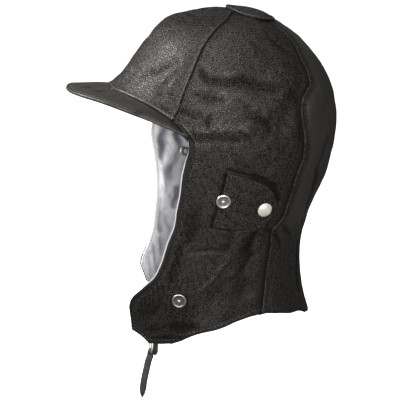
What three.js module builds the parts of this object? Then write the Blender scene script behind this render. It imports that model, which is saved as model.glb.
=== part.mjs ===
// A leather motoring helmet: a soft close-fitting cap of four panels with a short peak, long side
// flaps that meet under the chin, a snapped flap over each ear, and a strap that runs under the chin
// through a small ring. Millimetres, +Z up, the wearer faces -Y and the wearer's left is +X.
// The origin is the highest point inside, where the cap sits on the head.
import * as THREE from "three";

// Walls and clearances
const LEATHER = 1.6;
const LINING = 1.0;
const GAP = 0.3;
const SEAM_GAP = 0.4;
const WALL = LEATHER + GAP + LINING;
const DEGREE = Math.PI / 180;

const COLOURS = {
  leather: { color: 0x34312f, roughness: 0.55, metalness: 0 },
  satin: { color: 0xb9bac0, roughness: 0.4, metalness: 0 },
  nickel: { color: 0xb8b8b6, roughness: 0.3, metalness: 1 },
  cap: { color: 0xe2e1da, roughness: 0.35, metalness: 0.2 },
};

function table(columns, rows) {
  return rows.map((row) => Object.fromEntries(columns.map((name, i) => [name, row[i]])));
}

// Level sections of the outer surface. A section is an oval: front, back and widest are Y of its
// foremost, rearmost and widest points, and fullness squares its front and back corners.
// The station is measured down the side from the apex.
const SECTION_COLUMNS = ["station", "height", "front", "back", "widest", "halfWidth", "fullness"];
const SECTIONS = table(SECTION_COLUMNS, [
  [0, WALL, 0, 0, 0, 0, 0],
  [20, -0.5, -25, 24, 2, 20, 0],
  [42, -7, -49.5, 46, 4, 41, 0.04],
  [71, -26.5, -67, 74, 8, 62, 0.06],
  [102, -54.5, -87, 97, 12, 75.5, 0.05],
  [140, -92.5, -100, 109, 14, 81, 0.02],
  [182, -134.5, -106, 104, 14, 79, 0],
  [222, -174.5, -110, 88, 8, 73, 0],
  [263, -214.5, -113, 77, 0, 66, 0],
  [309, -260.5, -114, 79, -4, 62, 0],
  [363, -314.5, -112, 93, -6, 64, 0],
]);

// Seams and edges on the wearer's left, as turn (degrees round from the front) and station. The
// right side has the same ones mirrored, except for its own face edge.
const LINE_COLUMNS = ["turn", "station"];
const FRONT_SEAM = table(LINE_COLUMNS, [
  [156, 22], [124, 14], [84, 30], [67, 50], [60, 64], [57, 78], [55, 92], [53, 106], [51, 122], [49, 132],
]);
const BACK_SEAM = table(LINE_COLUMNS, [
  [163, 30], [152, 47], [145, 67], [136, 82], [132, 97], [130, 105], [120, 118], [117, 131], [118, 152],
  [118, 171], [115, 187], [115, 208], [114, 230], [110, 240], [112, 261], [112, 285], [111, 309], [110, 323],
]);
const BROW_LINE = table(LINE_COLUMNS, [
  [0, 112], [10, 112.5], [23, 114], [35, 119], [43, 126], [49, 132], [53.5, 138], [58, 147],
]);
const FACE_EDGE = table(LINE_COLUMNS, [
  [58, 147], [58.5, 158], [57, 170], [56, 184], [56, 200], [55.5, 216], [55.5, 233], [54, 247], [52, 269],
  [49, 283], [42.5, 295], [34.5, 309], [33.5, 315],
]);
// The right flap's face edge, as turn from the front towards the right
const RIGHT_FACE_EDGE = table(LINE_COLUMNS, [
  [58, 147], [58.3, 155], [54, 164], [52.4, 174], [52.4, 184], [53.4, 200], [54, 224], [53.4, 244], [51, 265],
  [48.4, 281], [43, 295], [35, 310], [33.5, 315],
]);
const CHIN_CORNER = { turn: 35.5, station: 337 };
// The lowest edge of the flap, then the hem rising from it to the back seam
const CHIN_HEM = table(LINE_COLUMNS, [[46.5, 348], [53.3, 347.6], [60, 347]]);
const SIDE_HEM = table(LINE_COLUMNS, [
  [60, 347], [66, 343], [83.5, 334], [96.5, 326.5], [110, 323],
]);
const BACK_HEM = table(LINE_COLUMNS, [
  [110, 323], [123, 325], [138, 330], [160, 339], [180, 344],
]);
const SEAM_MEETING = { x: 9, y: 24.5 };

// The front panel sweeps forward just above the peak, and hangs a little lower on the right.
const FLARE = { reach: 11, from: 90, to: 112, halfTurn: 52, until: 160, droop: 3 };

// The right flap hangs further back than the left one, and its tip is drawn up.
const SWING = { from: 130, to: 320, back: 25, up: 18, out: 7, fullTurn: 70, noTurn: 125 };

// Soft dents (depth above 0) and rolls (below 0) in the shell, each along a line from a to b.
const FOLD_COLUMNS = ["side", "turnA", "stationA", "turnB", "stationB", "width", "depth"];
const FOLDS = table(FOLD_COLUMNS, [
  [1, 72, 104, 90, 100, 11, 2.2],
  [1, 98, 102, 104, 112, 12, 1.8],
  [1, 122, 108, 104, 138, 8, 1.5],
  [1, 100, 246, 99, 300, 8, 2.0],
  [1, 88, 252, 86, 290, 9, -1.2],
  [1, 66, 250, 62, 285, 9, 1.5],
  [1, 52, 332, 74, 328, 7, -1.6],
  [1, 153, 118, 158, 180, 9, 2.6],
  [1, 158, 180, 150, 232, 9, 2.2],
  [1, 140, 96, 140, 160, 9, -1.4],
  [1, 116, 241, 150, 241, 8, 1.8],
  [-1, 76, 100, 94, 108, 11, 2.0],
  [-1, 150, 120, 154, 215, 10, 2.4],
  [-1, 96, 190, 92, 260, 12, 2.2],
  [-1, 116, 241, 150, 241, 8, 1.8],
]);
const MM_PER_TURN = 1.35;

// The peak's outer edge in plan is half an ellipse; its rise is the height of its top at each angle
// from the middle, and the right side hangs a little lower.
const PEAK = { halfWidth: 71, root: -46, reach: 95, thickness: 2.8, across: 4, gap: 0.7 };
const PEAK_EDGE = table(["angle", "left", "right"], [
  [0, -63.2, -63.2], [20, -63, -64.6], [35, -64, -69], [45, -66.7, -71.5], [55, -71, -74.5],
  [65, -76.5, -79], [75, -82.5, -84.5], [90, -95, -96],
]);

// The crown patch is an oval pad drawn on the flat layout: its top is level in the middle and rounds
// off to the rim, and hub is the share of its radius that the innermost ring of points has.
const PATCH = {
  seat: 0.5, centre: 26, halfLength: 20.5, halfWidth: 25, thickness: 3.2, hub: 0.02, roundness: 0.92,
  rings: 4, sides: 18,
};

// The ear flap: its four edges as turn and station, from the sewn edge round.
const EAR_SEWN = table(LINE_COLUMNS, [[73.5, 231], [75, 204], [76.5, 178]]);
const EAR_TOP = table(LINE_COLUMNS, [[76.5, 178], [84, 181.5], [93, 188], [101, 198]]);
const EAR_TIP = table(LINE_COLUMNS, [[102.5, 228], [106.5, 220], [105.5, 210], [101, 198]]);
const EAR_FOOT = table(LINE_COLUMNS, [[73.5, 231], [84, 234.5], [93.5, 233], [102.5, 228]]);
const EAR_LIFT = 1.2;
const EAR_SEAT = 0.45;

const EAR_STUD = { turn: 76.5, station: 204.5 };
const EAR_CAP = { turn: 98.5, station: 214.5 };
const CHIN_STUD = { turn: 63, station: 305 };
// How much further forward (degrees) and up (mm) the right ear set is sewn on than the left one
const RIGHT_EAR = { forward: 5.5, up: 3 };
const METAL_SEAT = 0.35;
const INSIDE_SEAT = 0.8;
const METAL_SIDES = 12;
// Half sections, radius and height, of the snap's three visible parts
const STUD_PROFILE = [
  [0, 0], [6.5, 0], [6.6, 0.7], [6.1, 1.5], [5.3, 1.5], [4.7, 0.8], [2, 0.8], [2.1, 2.5], [0, 3.1],
];
const CAP_PROFILE = [[0, 0], [6.4, 0], [6.8, 0.4], [6.4, 1.1], [4.8, 2.1], [2.6, 2.7], [0, 2.9]];
const RIVET_PROFILE = [[0, 0], [5.4, 0], [5.6, 0.5], [4.2, 0.9], [0, 0.9]];

// The strap is sewn inside the right flap at this turn and station, and its tip narrows to a point.
const STRAP = { width: 5.8, thickness: 1.2, turn: -48.5, station: 347.5, sewn: 13, steps: 4 };
const STRAP_TIP = table(["fromEnd", "share"], [[0, 0.1], [3.8, 0.68], [9.4, 1]]);
// The strap's way under the chin: X and Y, and the height above the ring's lower bar
const UNDER_CHIN = [[-26, -56, 16], [-6, -60, 14], [14, -64, 16]];
// Its way down beside the ring, up through it, over the lower bar and down, all from that bar. Turned is
// the angle of its width, 0 along the bar and 90 straight back.
const THROUGH_RING = table(["x", "y", "z", "turned"], [
  [-8, 6.2, 20, -80], [-1.5, 6.4, 17, -70], [0, 5.8, 12.5, -30], [0, 4.7, 7.5, 28], [0, 4.4, 1.5, 32],
  [0, 4, -1.7, 28], [0, 2.75, -2.75, 20], [0, 1.9, -1.5, 8], [0, 1.5, 0.3, 0], [0, 0, 1.5, 0],
  [0, -1.5, 0.1, 0], [0, -1.3, -1.6, 22], [0, -0.6, -3.8, 68], [0, -1.1, -6, 77], [0, -2.2, -9, 77],
  [0, -4.5, -19, 77], [0, -6.7, -29, 77], [0, -8.9, -46.4, 77],
]);
// How the strap leaves the right flap's edge
const STRAP_LEAVES = [5, -5, -9];
// The ring hangs edge-on inside the left flap's lowest edge, its bar along X.
const RING = {
  turn: 46.3, station: 345, inset: 8.5, wire: 0.7, halfWidth: 4.7, height: 14, corner: 0.32,
  sides: 6, steps: 20,
};
const TAB = { width: 4.4, ply: 0.9, slack: 0.65, rise: 9.5, turn: 48.5, over: 1.2, steps: 3 };

// The shell's surface

function sectionAt(station) {
  let i = 0;
  while (i < SECTIONS.length - 2 && station > SECTIONS[i + 1].station) i += 1;
  const a = SECTIONS[i];
  const b = SECTIONS[i + 1];
  const span = b.station - a.station;
  const t = (station - a.station) / span;
  const slope = (k, name) => {
    const before = SECTIONS[Math.max(k - 1, 0)];
    const after = SECTIONS[Math.min(k + 1, SECTIONS.length - 1)];
    if (k === 0 && name === "height") return 0;
    return (after[name] - before[name]) / (after.station - before.station);
  };
  const section = {};
  for (const name of SECTION_COLUMNS.slice(1)) {
    section[name] = (2 * t ** 3 - 3 * t ** 2 + 1) * a[name]
      + (t ** 3 - 2 * t ** 2 + t) * span * slope(i, name)
      + (3 * t ** 2 - 2 * t ** 3) * b[name]
      + (t ** 3 - t ** 2) * span * slope(i + 1, name);
  }
  return section;
}

function foldDepth(turn, station) {
  const side = turn < 0 ? -1 : 1;
  const across = Math.abs(turn) * MM_PER_TURN;
  let depth = 0;
  for (const fold of FOLDS) {
    if (fold.side !== side) continue;
    const ax = fold.turnA * MM_PER_TURN;
    const dx = fold.turnB * MM_PER_TURN - ax;
    const dy = fold.stationB - fold.stationA;
    const along = ((across - ax) * dx + (station - fold.stationA) * dy) / (dx * dx + dy * dy);
    const t = THREE.MathUtils.clamp(along, 0, 1);
    const away = Math.hypot(across - ax - t * dx, station - fold.stationA - t * dy);
    depth += fold.depth * Math.exp(-((away / fold.width) ** 2));
  }
  return depth;
}

function shell(turn, station) {
  const { height, front, back, widest, halfWidth, fullness } = sectionAt(station);
  const sin = Math.sin(turn * DEGREE);
  const cos = Math.cos(turn * DEGREE);
  const half = (back - front) / 2;
  const lean = (back + front) / 2 - widest;
  const point = new THREE.Vector3(
    halfWidth * sin * (1 + fullness * cos * cos),
    widest - half * cos + lean * cos * cos,
    height,
  );
  const outward = new THREE.Vector3(point.x, point.y - widest, 0).normalize();
  point.addScaledVector(outward, -foldDepth(turn, station));
  if (Math.abs(turn) < FLARE.halfTurn && station < FLARE.until) {
    const rise = THREE.MathUtils.clamp((station - FLARE.from) / (FLARE.to - FLARE.from), 0, 1.3);
    const share = Math.cos((turn / FLARE.halfTurn) * Math.PI / 2) ** 2;
    point.addScaledVector(new THREE.Vector3(sin, -cos, 0), FLARE.reach * share * rise ** 3);
    const aside = Math.sin((turn / FLARE.halfTurn) * Math.PI) ** 2;
    if (turn < 0) point.z -= FLARE.droop * aside * Math.min(rise, 1);
  }
  if (turn < 0 && station > SWING.from) {
    const grown = Math.min((station - SWING.from) / (SWING.to - SWING.from), 1.1) ** 1.5;
    const share = 1 - THREE.MathUtils.smoothstep(-turn, SWING.fullTurn, SWING.noTurn);
    const bulge = 4 * share * (1 - share);
    point.y += SWING.back * grown * share;
    point.z += SWING.up * grown * share;
    point.x -= SWING.out * grown * bulge;
  }
  return point;
}

// Directions at a point of the shell: out of it, down it, and round it towards the back on the left
function frameAt(turn, station) {
  const step = 0.4;
  const down = shell(turn, station + step).sub(shell(turn, station - step)).normalize();
  const round = shell(turn + step, station).sub(shell(turn - step, station)).normalize();
  const out = down.clone().cross(round).normalize();
  return { down, round, out };
}

function onShell(place, rise) {
  const { out } = frameAt(place.turn, place.station);
  return shell(place.turn, place.station).addScaledVector(out, rise);
}

// The shell is laid flat round its apex for drawing the panels: distance is the station.
function toFlat({ turn, station }) {
  return new THREE.Vector3(station * Math.sin(turn * DEGREE), -station * Math.cos(turn * DEGREE), 0);
}

function fromFlat(flat) {
  return { turn: Math.atan2(flat.x, -flat.y) / DEGREE, station: Math.hypot(flat.x, flat.y) };
}

function mirrored(points) {
  return points.map((p) => new THREE.Vector3(-p.x, p.y, 0));
}

// Points along a line, equally spaced, or closer together towards its end where crowding is over 1
function sampled(line, steps, crowding = 1) {
  const curve = new THREE.CatmullRomCurve3(line.map(toFlat), false, "centripetal");
  return Array.from({ length: steps + 1 }, (_, i) => curve.getPointAt(1 - (1 - i / steps) ** crowding));
}

function joined(...lists) {
  return lists.flatMap((list, i) => (i ? list.slice(1) : list));
}

function fractions(points) {
  const lengths = [0];
  for (let i = 1; i < points.length; i += 1) {
    lengths.push(lengths[i - 1] + points[i].distanceTo(points[i - 1]));
  }
  return lengths.map((length) => length / lengths.at(-1));
}

// A grid of flat points between four edges: rows run down, columns run from the left edge to the right.
function patchwork(left, right, top, bottom) {
  const rows = left.length - 1;
  const columns = top.length - 1;
  const down = fractions(left);
  const across = fractions(bottom);
  const grid = [];
  for (let r = 0; r <= rows; r += 1) {
    const row = [];
    for (let c = 0; c <= columns; c += 1) {
      const t = down[r];
      const s = THREE.MathUtils.lerp(c / columns, across[c], t);
      const sides = left[r].clone().lerp(right[r], s);
      const ends = top[c].clone().lerp(bottom[c], t);
      const upper = top[0].clone().lerp(top[columns], s);
      const lower = bottom[0].clone().lerp(bottom[columns], s);
      row.push(sides.add(ends).sub(upper.lerp(lower, t)));
    }
    grid.push(row);
  }
  return grid;
}

// Solids

function solid(positions, triangles) {
  const geometry = new THREE.BufferGeometry();
  const numbers = positions.flatMap((p) => [p.x, p.y, p.z]);
  geometry.setAttribute("position", new THREE.Float32BufferAttribute(numbers, 3));
  geometry.setIndex(triangles);
  geometry.computeVertexNormals();
  return geometry;
}

// A closed sheet between two grids of points, front faces on the first grid's side when its rows run
// down and its columns run to the right as seen from that side.
function sheetBetween(outer, inner) {
  const rows = outer.length;
  const columns = outer[0].length;
  const points = [...outer.flat(), ...inner.flat()];
  const front = (r, c) => r * columns + c;
  const behind = (r, c) => rows * columns + r * columns + c;
  const triangles = [];
  const quad = (a, b, c, d) => triangles.push(a, b, c, a, c, d);
  for (let r = 0; r < rows - 1; r += 1) {
    for (let c = 0; c < columns - 1; c += 1) {
      quad(front(r, c), front(r + 1, c), front(r + 1, c + 1), front(r, c + 1));
      quad(behind(r, c), behind(r, c + 1), behind(r + 1, c + 1), behind(r + 1, c));
    }
  }
  for (let r = 0; r < rows - 1; r += 1) {
    quad(front(r, 0), behind(r, 0), behind(r + 1, 0), front(r + 1, 0));
    const c = columns - 1;
    quad(front(r, c), front(r + 1, c), behind(r + 1, c), behind(r, c));
  }
  for (let c = 0; c < columns - 1; c += 1) {
    quad(front(0, c), front(0, c + 1), behind(0, c + 1), behind(0, c));
    const r = rows - 1;
    quad(front(r, c), behind(r, c), behind(r, c + 1), front(r, c + 1));
  }
  return solid(points, triangles);
}

// A tube or strap of any section: each ring of points is joined to the next, and the ends are capped
// unless it closes on itself.
function sweep(rings, closed) {
  const sides = rings[0].length;
  const triangles = [];
  const last = closed ? rings.length : rings.length - 1;
  for (let i = 0; i < last; i += 1) {
    const here = i * sides;
    const next = ((i + 1) % rings.length) * sides;
    for (let k = 0; k < sides; k += 1) {
      const m = (k + 1) % sides;
      triangles.push(here + k, here + m, next + m, here + k, next + m, next + k);
    }
  }
  if (!closed) {
    const end = (rings.length - 1) * sides;
    for (let k = 1; k < sides - 1; k += 1) {
      triangles.push(0, k + 1, k, end, end + k, end + k + 1);
    }
  }
  return solid(rings.flat(), triangles);
}

const helmet = new THREE.Group();

function add(name, geometry, look) {
  const mesh = new THREE.Mesh(geometry, new THREE.MeshStandardMaterial(COLOURS[look]));
  mesh.name = name;
  helmet.add(mesh);
  return mesh;
}

// A sheet of the shell between two depths, its edges drawn in by half the seam gap
function shellSheet(grid, rise, depth) {
  const places = grid.map((row) => row.map(fromFlat));
  const lay = (height) => {
    const laid = places.map((row) => row.map((place) => onShell(place, height)));
    const drawIn = (edge, next) => {
      const way = next.clone().sub(edge).normalize();
      edge.addScaledVector(way, SEAM_GAP / 2);
    };
    for (const row of laid) {
      drawIn(row[0], row[1]);
      drawIn(row.at(-1), row.at(-2));
    }
    laid[0].forEach((point, c) => drawIn(point, laid[1][c]));
    return laid;
  };
  return sheetBetween(lay(rise), lay(rise - depth));
}

function addPanel(name, grid) {
  add(name.replace("#", "panel"), shellSheet(grid, 0, LEATHER), "leather");
  add(name.replace("#", "lining"), shellSheet(grid, -LEATHER - GAP, LINING), "satin");
}

// Panels and their linings. Columns run left to right as seen from outside.

const meeting = new THREE.Vector3(SEAM_MEETING.x, SEAM_MEETING.y, 0);
const frontSeam = sampled(FRONT_SEAM, 9, 1.35);
const templeRows = sampled(BROW_LINE.slice(5), 2);

// A panel's front boundary: the seam, the temple, the face edge and the chin
function sideBoundary(edge) {
  const corner = sampled(edge.slice(0, 2), 1);
  const rest = sampled(edge.slice(1), 7);
  return joined(frontSeam, templeRows, corner, rest, [rest.at(-1), toFlat(CHIN_CORNER)]);
}

const sideFront = sideBoundary(FACE_EDGE);

const backCurve = new THREE.CatmullRomCurve3(BACK_SEAM.map(toFlat), false, "centripetal");
const sideBack = fractions(sideFront).map((f) => backCurve.getPointAt(f));

function straight(a, b, steps) {
  return Array.from({ length: steps + 1 }, (_, i) => a.clone().lerp(b, i / steps));
}

const sideHem = joined(
  straight(toFlat(CHIN_CORNER), toFlat(CHIN_HEM[0]), 2),
  sampled(CHIN_HEM, 2),
  sampled(SIDE_HEM, 10),
);
const sideTop = joined(
  straight(sideFront[0], meeting, 7),
  straight(meeting, sideBack[0], 7),
);
const sideGrid = patchwork(sideFront, sideBack, sideTop, sideHem);
const rightGrid = patchwork(sideBoundary(RIGHT_FACE_EDGE), sideBack, sideTop, sideHem);

function mirroredGrid(grid) {
  return grid.map((row) => mirrored(row).reverse());
}

const browLeft = sampled(BROW_LINE.slice(0, 6), 6);
const brow = joined(mirrored(browLeft).reverse(), browLeft);
const frontLeft = [meeting, ...frontSeam];
const frontTop = straight(mirrored([meeting])[0], meeting, 12);
const frontGrid = patchwork(mirrored(frontLeft), frontLeft, frontTop, brow);

const backLeft = [meeting, ...sideBack];
const hemLeft = sampled(BACK_HEM, 6);
const backHem = joined(hemLeft, mirrored(hemLeft).reverse());
const backTop = straight(meeting, mirrored([meeting])[0], 12);
const backGrid = patchwork(backLeft, mirrored(backLeft), backTop, backHem);

addPanel("front_#", frontGrid);
addPanel("side_#_left", sideGrid);
addPanel("side_#_right", mirroredGrid(rightGrid));
addPanel("back_#", backGrid);

// The peak: its root lies under the front panel's lower edge from temple to temple.

function peakEdgeHeight(angle) {
  const side = angle < 0 ? "right" : "left";
  const at = Math.abs(angle);
  let i = 0;
  while (i < PEAK_EDGE.length - 2 && at > PEAK_EDGE[i + 1].angle) i += 1;
  const a = PEAK_EDGE[i];
  const b = PEAK_EDGE[i + 1];
  return THREE.MathUtils.lerp(a[side], b[side], (at - a.angle) / (b.angle - a.angle));
}

function peakGrids() {
  const half = joined(browLeft, templeRows);
  const root = joined(mirrored(half).reverse(), half);
  const shares = fractions(root);
  const top = Array.from({ length: PEAK.across + 2 }, () => []);
  const places = root.map(fromFlat);
  const line = places.map(({ turn, station }) => shell(turn, station));
  places.forEach((place, i) => {
    const angle = 90 * (2 * shares[i] - 1);
    const { out } = frameAt(place.turn, place.station);
    const along = line[Math.min(i + 1, line.length - 1)].clone().sub(line[Math.max(i - 1, 0)]);
    const away = along.cross(out).normalize();
    const seat = line[i].clone().addScaledVector(away, PEAK.gap);
    const inner = seat.clone().addScaledVector(out, -WALL);
    const edge = new THREE.Vector3(
      PEAK.halfWidth * Math.sin(angle * DEGREE),
      PEAK.root - PEAK.reach * Math.cos(angle * DEGREE),
      peakEdgeHeight(angle),
    );
    top[0].push(inner);
    for (let k = 0; k <= PEAK.across; k += 1) {
      top[k + 1].push(seat.clone().lerp(edge, k / PEAK.across));
    }
  });
  const bottom = top.map((row) => row.map((p) => p.clone().setZ(p.z - PEAK.thickness)));
  return { top, bottom };
}

const peak = peakGrids();
add("peak", sheetBetween(peak.top, peak.bottom), "leather");

// The round patch over the meeting of the seams

function patchGeometry() {
  const base = [];
  const crown = [];
  for (let k = 0; k <= PATCH.rings; k += 1) {
    const share = THREE.MathUtils.lerp(PATCH.hub, 1, k / PATCH.rings);
    const rise = PATCH.thickness * Math.sqrt(1 - (PATCH.roundness * share) ** 4) + PATCH.seat;
    const ring = [];
    const under = [];
    for (let j = 0; j < PATCH.sides; j += 1) {
      const angle = (-2 * Math.PI * j) / PATCH.sides;
      const place = fromFlat(new THREE.Vector3(
        PATCH.halfWidth * share * Math.cos(angle),
        PATCH.centre + PATCH.halfLength * share * Math.sin(angle),
        0,
      ));
      ring.push(onShell(place, rise));
      under.push(onShell(place, PATCH.seat));
    }
    crown.push(ring);
    base.push(under);
  }
  return sweep([...crown, ...base.reverse()], false);
}

add("crown_patch", patchGeometry(), "leather");

// Ear flaps, their caps and the studs

function earPlace(side, { turn, station }) {
  if (side > 0) return { turn, station };
  return { turn: RIGHT_EAR.forward - turn, station: station - RIGHT_EAR.up };
}

function earFlapGeometry(side) {
  const rows = 7;
  const columns = 6;
  const grid = patchwork(
    sampled(EAR_SEWN, rows).reverse(), sampled(EAR_TIP, rows).reverse(),
    sampled(EAR_TOP, columns), sampled(EAR_FOOT, columns),
  );
  const lay = (height) => grid.map((row) => row.map((flat, c) => {
    const place = fromFlat(flat);
    const lift = EAR_LIFT * (c / columns) ** 2;
    return onShell(earPlace(side, place), height + lift);
  }));
  const order = (laid) => (side > 0 ? laid : laid.map((row) => row.reverse()));
  return sheetBetween(order(lay(EAR_SEAT + LEATHER)), order(lay(EAR_SEAT)));
}

function lathe(profile) {
  return new THREE.LatheGeometry(profile.map(([r, h]) => new THREE.Vector2(r, h)), METAL_SIDES);
}

function addMetal(name, profile, place, rise, look, inward = false) {
  const mesh = add(name, lathe(profile), look);
  const { out } = frameAt(place.turn, place.station);
  mesh.position.copy(onShell(place, rise));
  mesh.quaternion.setFromUnitVectors(new THREE.Vector3(0, 1, 0), inward ? out.negate() : out);
}

for (const [side, word] of [[1, "left"], [-1, "right"]]) {
  const chinPlace = { turn: side * CHIN_STUD.turn, station: CHIN_STUD.station };
  add(`ear_flap_${word}`, earFlapGeometry(side), "leather");
  const flapTop = EAR_SEAT + LEATHER + METAL_SEAT;
  addMetal(`ear_stud_${word}`, STUD_PROFILE, earPlace(side, EAR_STUD), flapTop, "nickel");
  addMetal(`ear_cap_${word}`, CAP_PROFILE, earPlace(side, EAR_CAP), flapTop + EAR_LIFT, "cap");
  addMetal(`ear_rivet_${word}`, RIVET_PROFILE, earPlace(side, EAR_STUD), -WALL - INSIDE_SEAT, "nickel", true);
  addMetal(`chin_stud_${word}`, STUD_PROFILE, chinPlace, METAL_SEAT, "nickel");
  addMetal(`chin_rivet_${word}`, RIVET_PROFILE, chinPlace, -WALL - INSIDE_SEAT, "nickel", true);
}

// The strap, the ring and the ring's tab

// A strap of rectangular section along a line of places, each with the way its width runs there, and
// the same number of steps from each place to the next
function bandGeometry(places, width, thickness, steps, widthShare) {
  const line = new THREE.CatmullRomCurve3(places.map((p) => p.at), false, "centripetal");
  const last = steps * (places.length - 1);
  const middles = Array.from({ length: last + 1 }, (_, i) => line.getPoint(i / last));
  const shares = fractions(middles);
  const length = line.getLength();
  const rings = [];
  for (let i = 0; i <= last; i += 1) {
    const k = Math.min(Math.floor(i / steps), places.length - 2);
    const ahead = line.getTangent(i / last);
    const blend = THREE.MathUtils.smoothstep(i / steps - k, 0, 1);
    const wide = places[k].wide.clone().lerp(places[k + 1].wide, blend);
    wide.addScaledVector(ahead, -wide.dot(ahead)).normalize();
    const thick = ahead.clone().cross(wide);
    const half = (width * widthShare(length * (1 - shares[i]))) / 2;
    rings.push([[1, 1], [-1, 1], [-1, -1], [1, -1]].map(([w, h]) => middles[i].clone()
      .addScaledVector(wide, w * half)
      .addScaledVector(thick, (h * thickness) / 2)));
  }
  return sweep(rings, false);
}

const ringTop = onShell({ turn: RING.turn, station: RING.station }, -RING.inset);
const bar = ringTop.clone().setZ(ringTop.z - RING.height);
const alongBar = new THREE.Vector3(1, 0, 0);

function near(point, x, y, z) {
  return point.clone().add(new THREE.Vector3(x, y, z));
}

// The ring's middle line: a rounded box
function ringMiddle(angle) {
  const squared = (value) => Math.sign(value) * Math.abs(value) ** RING.corner;
  const drop = (RING.height / 2) * (squared(Math.cos(angle)) - 1);
  return near(ringTop, RING.halfWidth * squared(Math.sin(angle)), 0, drop);
}

function ringGeometry() {
  const through = new THREE.Vector3(0, 1, 0);
  const rings = [];
  for (let i = 0; i < RING.steps; i += 1) {
    const angle = (2 * Math.PI * i) / RING.steps;
    const middle = ringMiddle(angle);
    const ahead = ringMiddle(angle + 0.01).sub(ringMiddle(angle - 0.01)).normalize();
    const side = through.clone().cross(ahead);
    const ring = [];
    for (let k = 0; k < RING.sides; k += 1) {
      const turn = (2 * Math.PI * k) / RING.sides;
      ring.push(middle.clone()
        .addScaledVector(side, RING.wire * Math.cos(turn))
        .addScaledVector(through, RING.wire * Math.sin(turn)));
    }
    rings.push(ring);
  }
  return sweep(rings, true);
}

add("strap_ring", ringGeometry(), "nickel");

// The tab is a folded strip sewn flat inside the flap, and twists down to the ring's upper bar.
function tabGeometry() {
  const sewnAt = { turn: TAB.turn, station: RING.station - TAB.rise };
  const flat = frameAt(sewnAt.turn, sewnAt.station).round;
  const outer = -WALL - 2 * INSIDE_SEAT - TAB.ply / 2;
  const inner = outer - TAB.ply - 2 * GAP;
  const bend = RING.wire + TAB.slack + TAB.ply / 2;
  const slant = bend * Math.SQRT1_2;
  return bandGeometry([
    { at: onShell(sewnAt, outer), wide: flat },
    { at: near(ringTop, 0, -bend, TAB.over), wide: alongBar },
    { at: near(ringTop, 0, -slant, -slant), wide: alongBar },
    { at: near(ringTop, 0, 0, -bend), wide: alongBar },
    { at: near(ringTop, 0, slant, -slant), wide: alongBar },
    { at: near(ringTop, 0, bend, TAB.over), wide: alongBar },
    { at: onShell(sewnAt, inner), wide: flat },
  ], TAB.width, TAB.ply, TAB.steps, () => 1);
}

add("ring_tab", tabGeometry(), "leather");

// The chin strap runs down inside the right flap, under the chin and through the ring from behind.
function tipShare(fromEnd) {
  const i = STRAP_TIP.findIndex((row) => row.fromEnd > fromEnd);
  if (i < 0) return 1;
  const a = STRAP_TIP[i - 1];
  const b = STRAP_TIP[i];
  return THREE.MathUtils.mapLinear(fromEnd, a.fromEnd, b.fromEnd, a.share, b.share);
}

function strapGeometry() {
  const edge = { turn: STRAP.turn, station: STRAP.station };
  const sewn = { turn: STRAP.turn, station: STRAP.station - STRAP.sewn };
  const lie = -WALL - INSIDE_SEAT - STRAP.thickness / 2;
  const flat = frameAt(edge.turn, edge.station).round;
  const forward = new THREE.Vector3(0, -1, 0);
  return bandGeometry([
    { at: onShell(sewn, lie), wide: flat },
    { at: onShell(edge, lie), wide: flat },
    { at: near(onShell(edge, lie), ...STRAP_LEAVES), wide: flat },
    ...UNDER_CHIN.map(([x, y, rise]) => ({ at: new THREE.Vector3(x, y, bar.z + rise), wide: forward })),
    ...THROUGH_RING.map(({ x, y, z, turned }) => ({
      at: near(bar, x, y, z),
      wide: new THREE.Vector3(Math.cos(turned * DEGREE), Math.sin(turned * DEGREE), 0),
    })),
  ], STRAP.width, STRAP.thickness, STRAP.steps, tipShare);
}

add("chin_strap", strapGeometry(), "leather");

export default helmet;
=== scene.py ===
"""A leather motoring helmet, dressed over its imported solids.

The shell is one smooth surface given by level sections; panels, linings, flaps and seams are drawn on
it as lines of turn (degrees round from the front) and station (millimetres down from the apex).
Lengths are in millimetres until a mesh is made.
"""
import math

import bpy
import numpy as np
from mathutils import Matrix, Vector


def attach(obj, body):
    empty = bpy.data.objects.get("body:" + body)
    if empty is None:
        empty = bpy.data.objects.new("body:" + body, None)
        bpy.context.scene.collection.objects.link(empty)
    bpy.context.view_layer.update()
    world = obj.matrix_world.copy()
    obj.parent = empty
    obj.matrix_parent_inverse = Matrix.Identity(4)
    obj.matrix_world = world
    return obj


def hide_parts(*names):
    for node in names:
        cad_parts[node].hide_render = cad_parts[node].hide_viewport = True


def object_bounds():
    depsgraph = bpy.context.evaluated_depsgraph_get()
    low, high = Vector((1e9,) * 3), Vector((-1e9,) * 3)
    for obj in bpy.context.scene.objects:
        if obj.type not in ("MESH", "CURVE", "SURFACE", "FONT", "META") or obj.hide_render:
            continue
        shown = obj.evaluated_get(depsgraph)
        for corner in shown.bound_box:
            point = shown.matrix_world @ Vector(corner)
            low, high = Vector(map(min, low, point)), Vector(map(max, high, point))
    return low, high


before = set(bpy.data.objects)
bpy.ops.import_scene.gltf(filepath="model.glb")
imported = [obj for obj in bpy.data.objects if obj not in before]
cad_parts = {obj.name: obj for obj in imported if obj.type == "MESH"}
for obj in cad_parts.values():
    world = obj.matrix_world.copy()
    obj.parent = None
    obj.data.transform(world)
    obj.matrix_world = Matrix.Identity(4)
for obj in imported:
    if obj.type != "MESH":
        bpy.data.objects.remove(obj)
cad_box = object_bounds()

MM = 0.001
LEATHER = 1.6
LINING = 1.0
GAP = 0.3
SEAM_GAP = 0.3
WALL = LEATHER + GAP + LINING
# Spacing of a panel's rows and columns, and the places of the closer ones next to its edges
STEP = 1.6
EDGE_STEPS = np.array([0.25, 0.55, 0.9, 1.35, 2.0, 2.9, 4.2])

# Camera

TARGET = np.array([0.0, -18.0, -178.5])
CAMERA_TURN = math.radians(77)
CAMERA_RISE = math.radians(17)
CAMERA_AWAY = 1600
FIELD_WIDTH = 376

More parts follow.
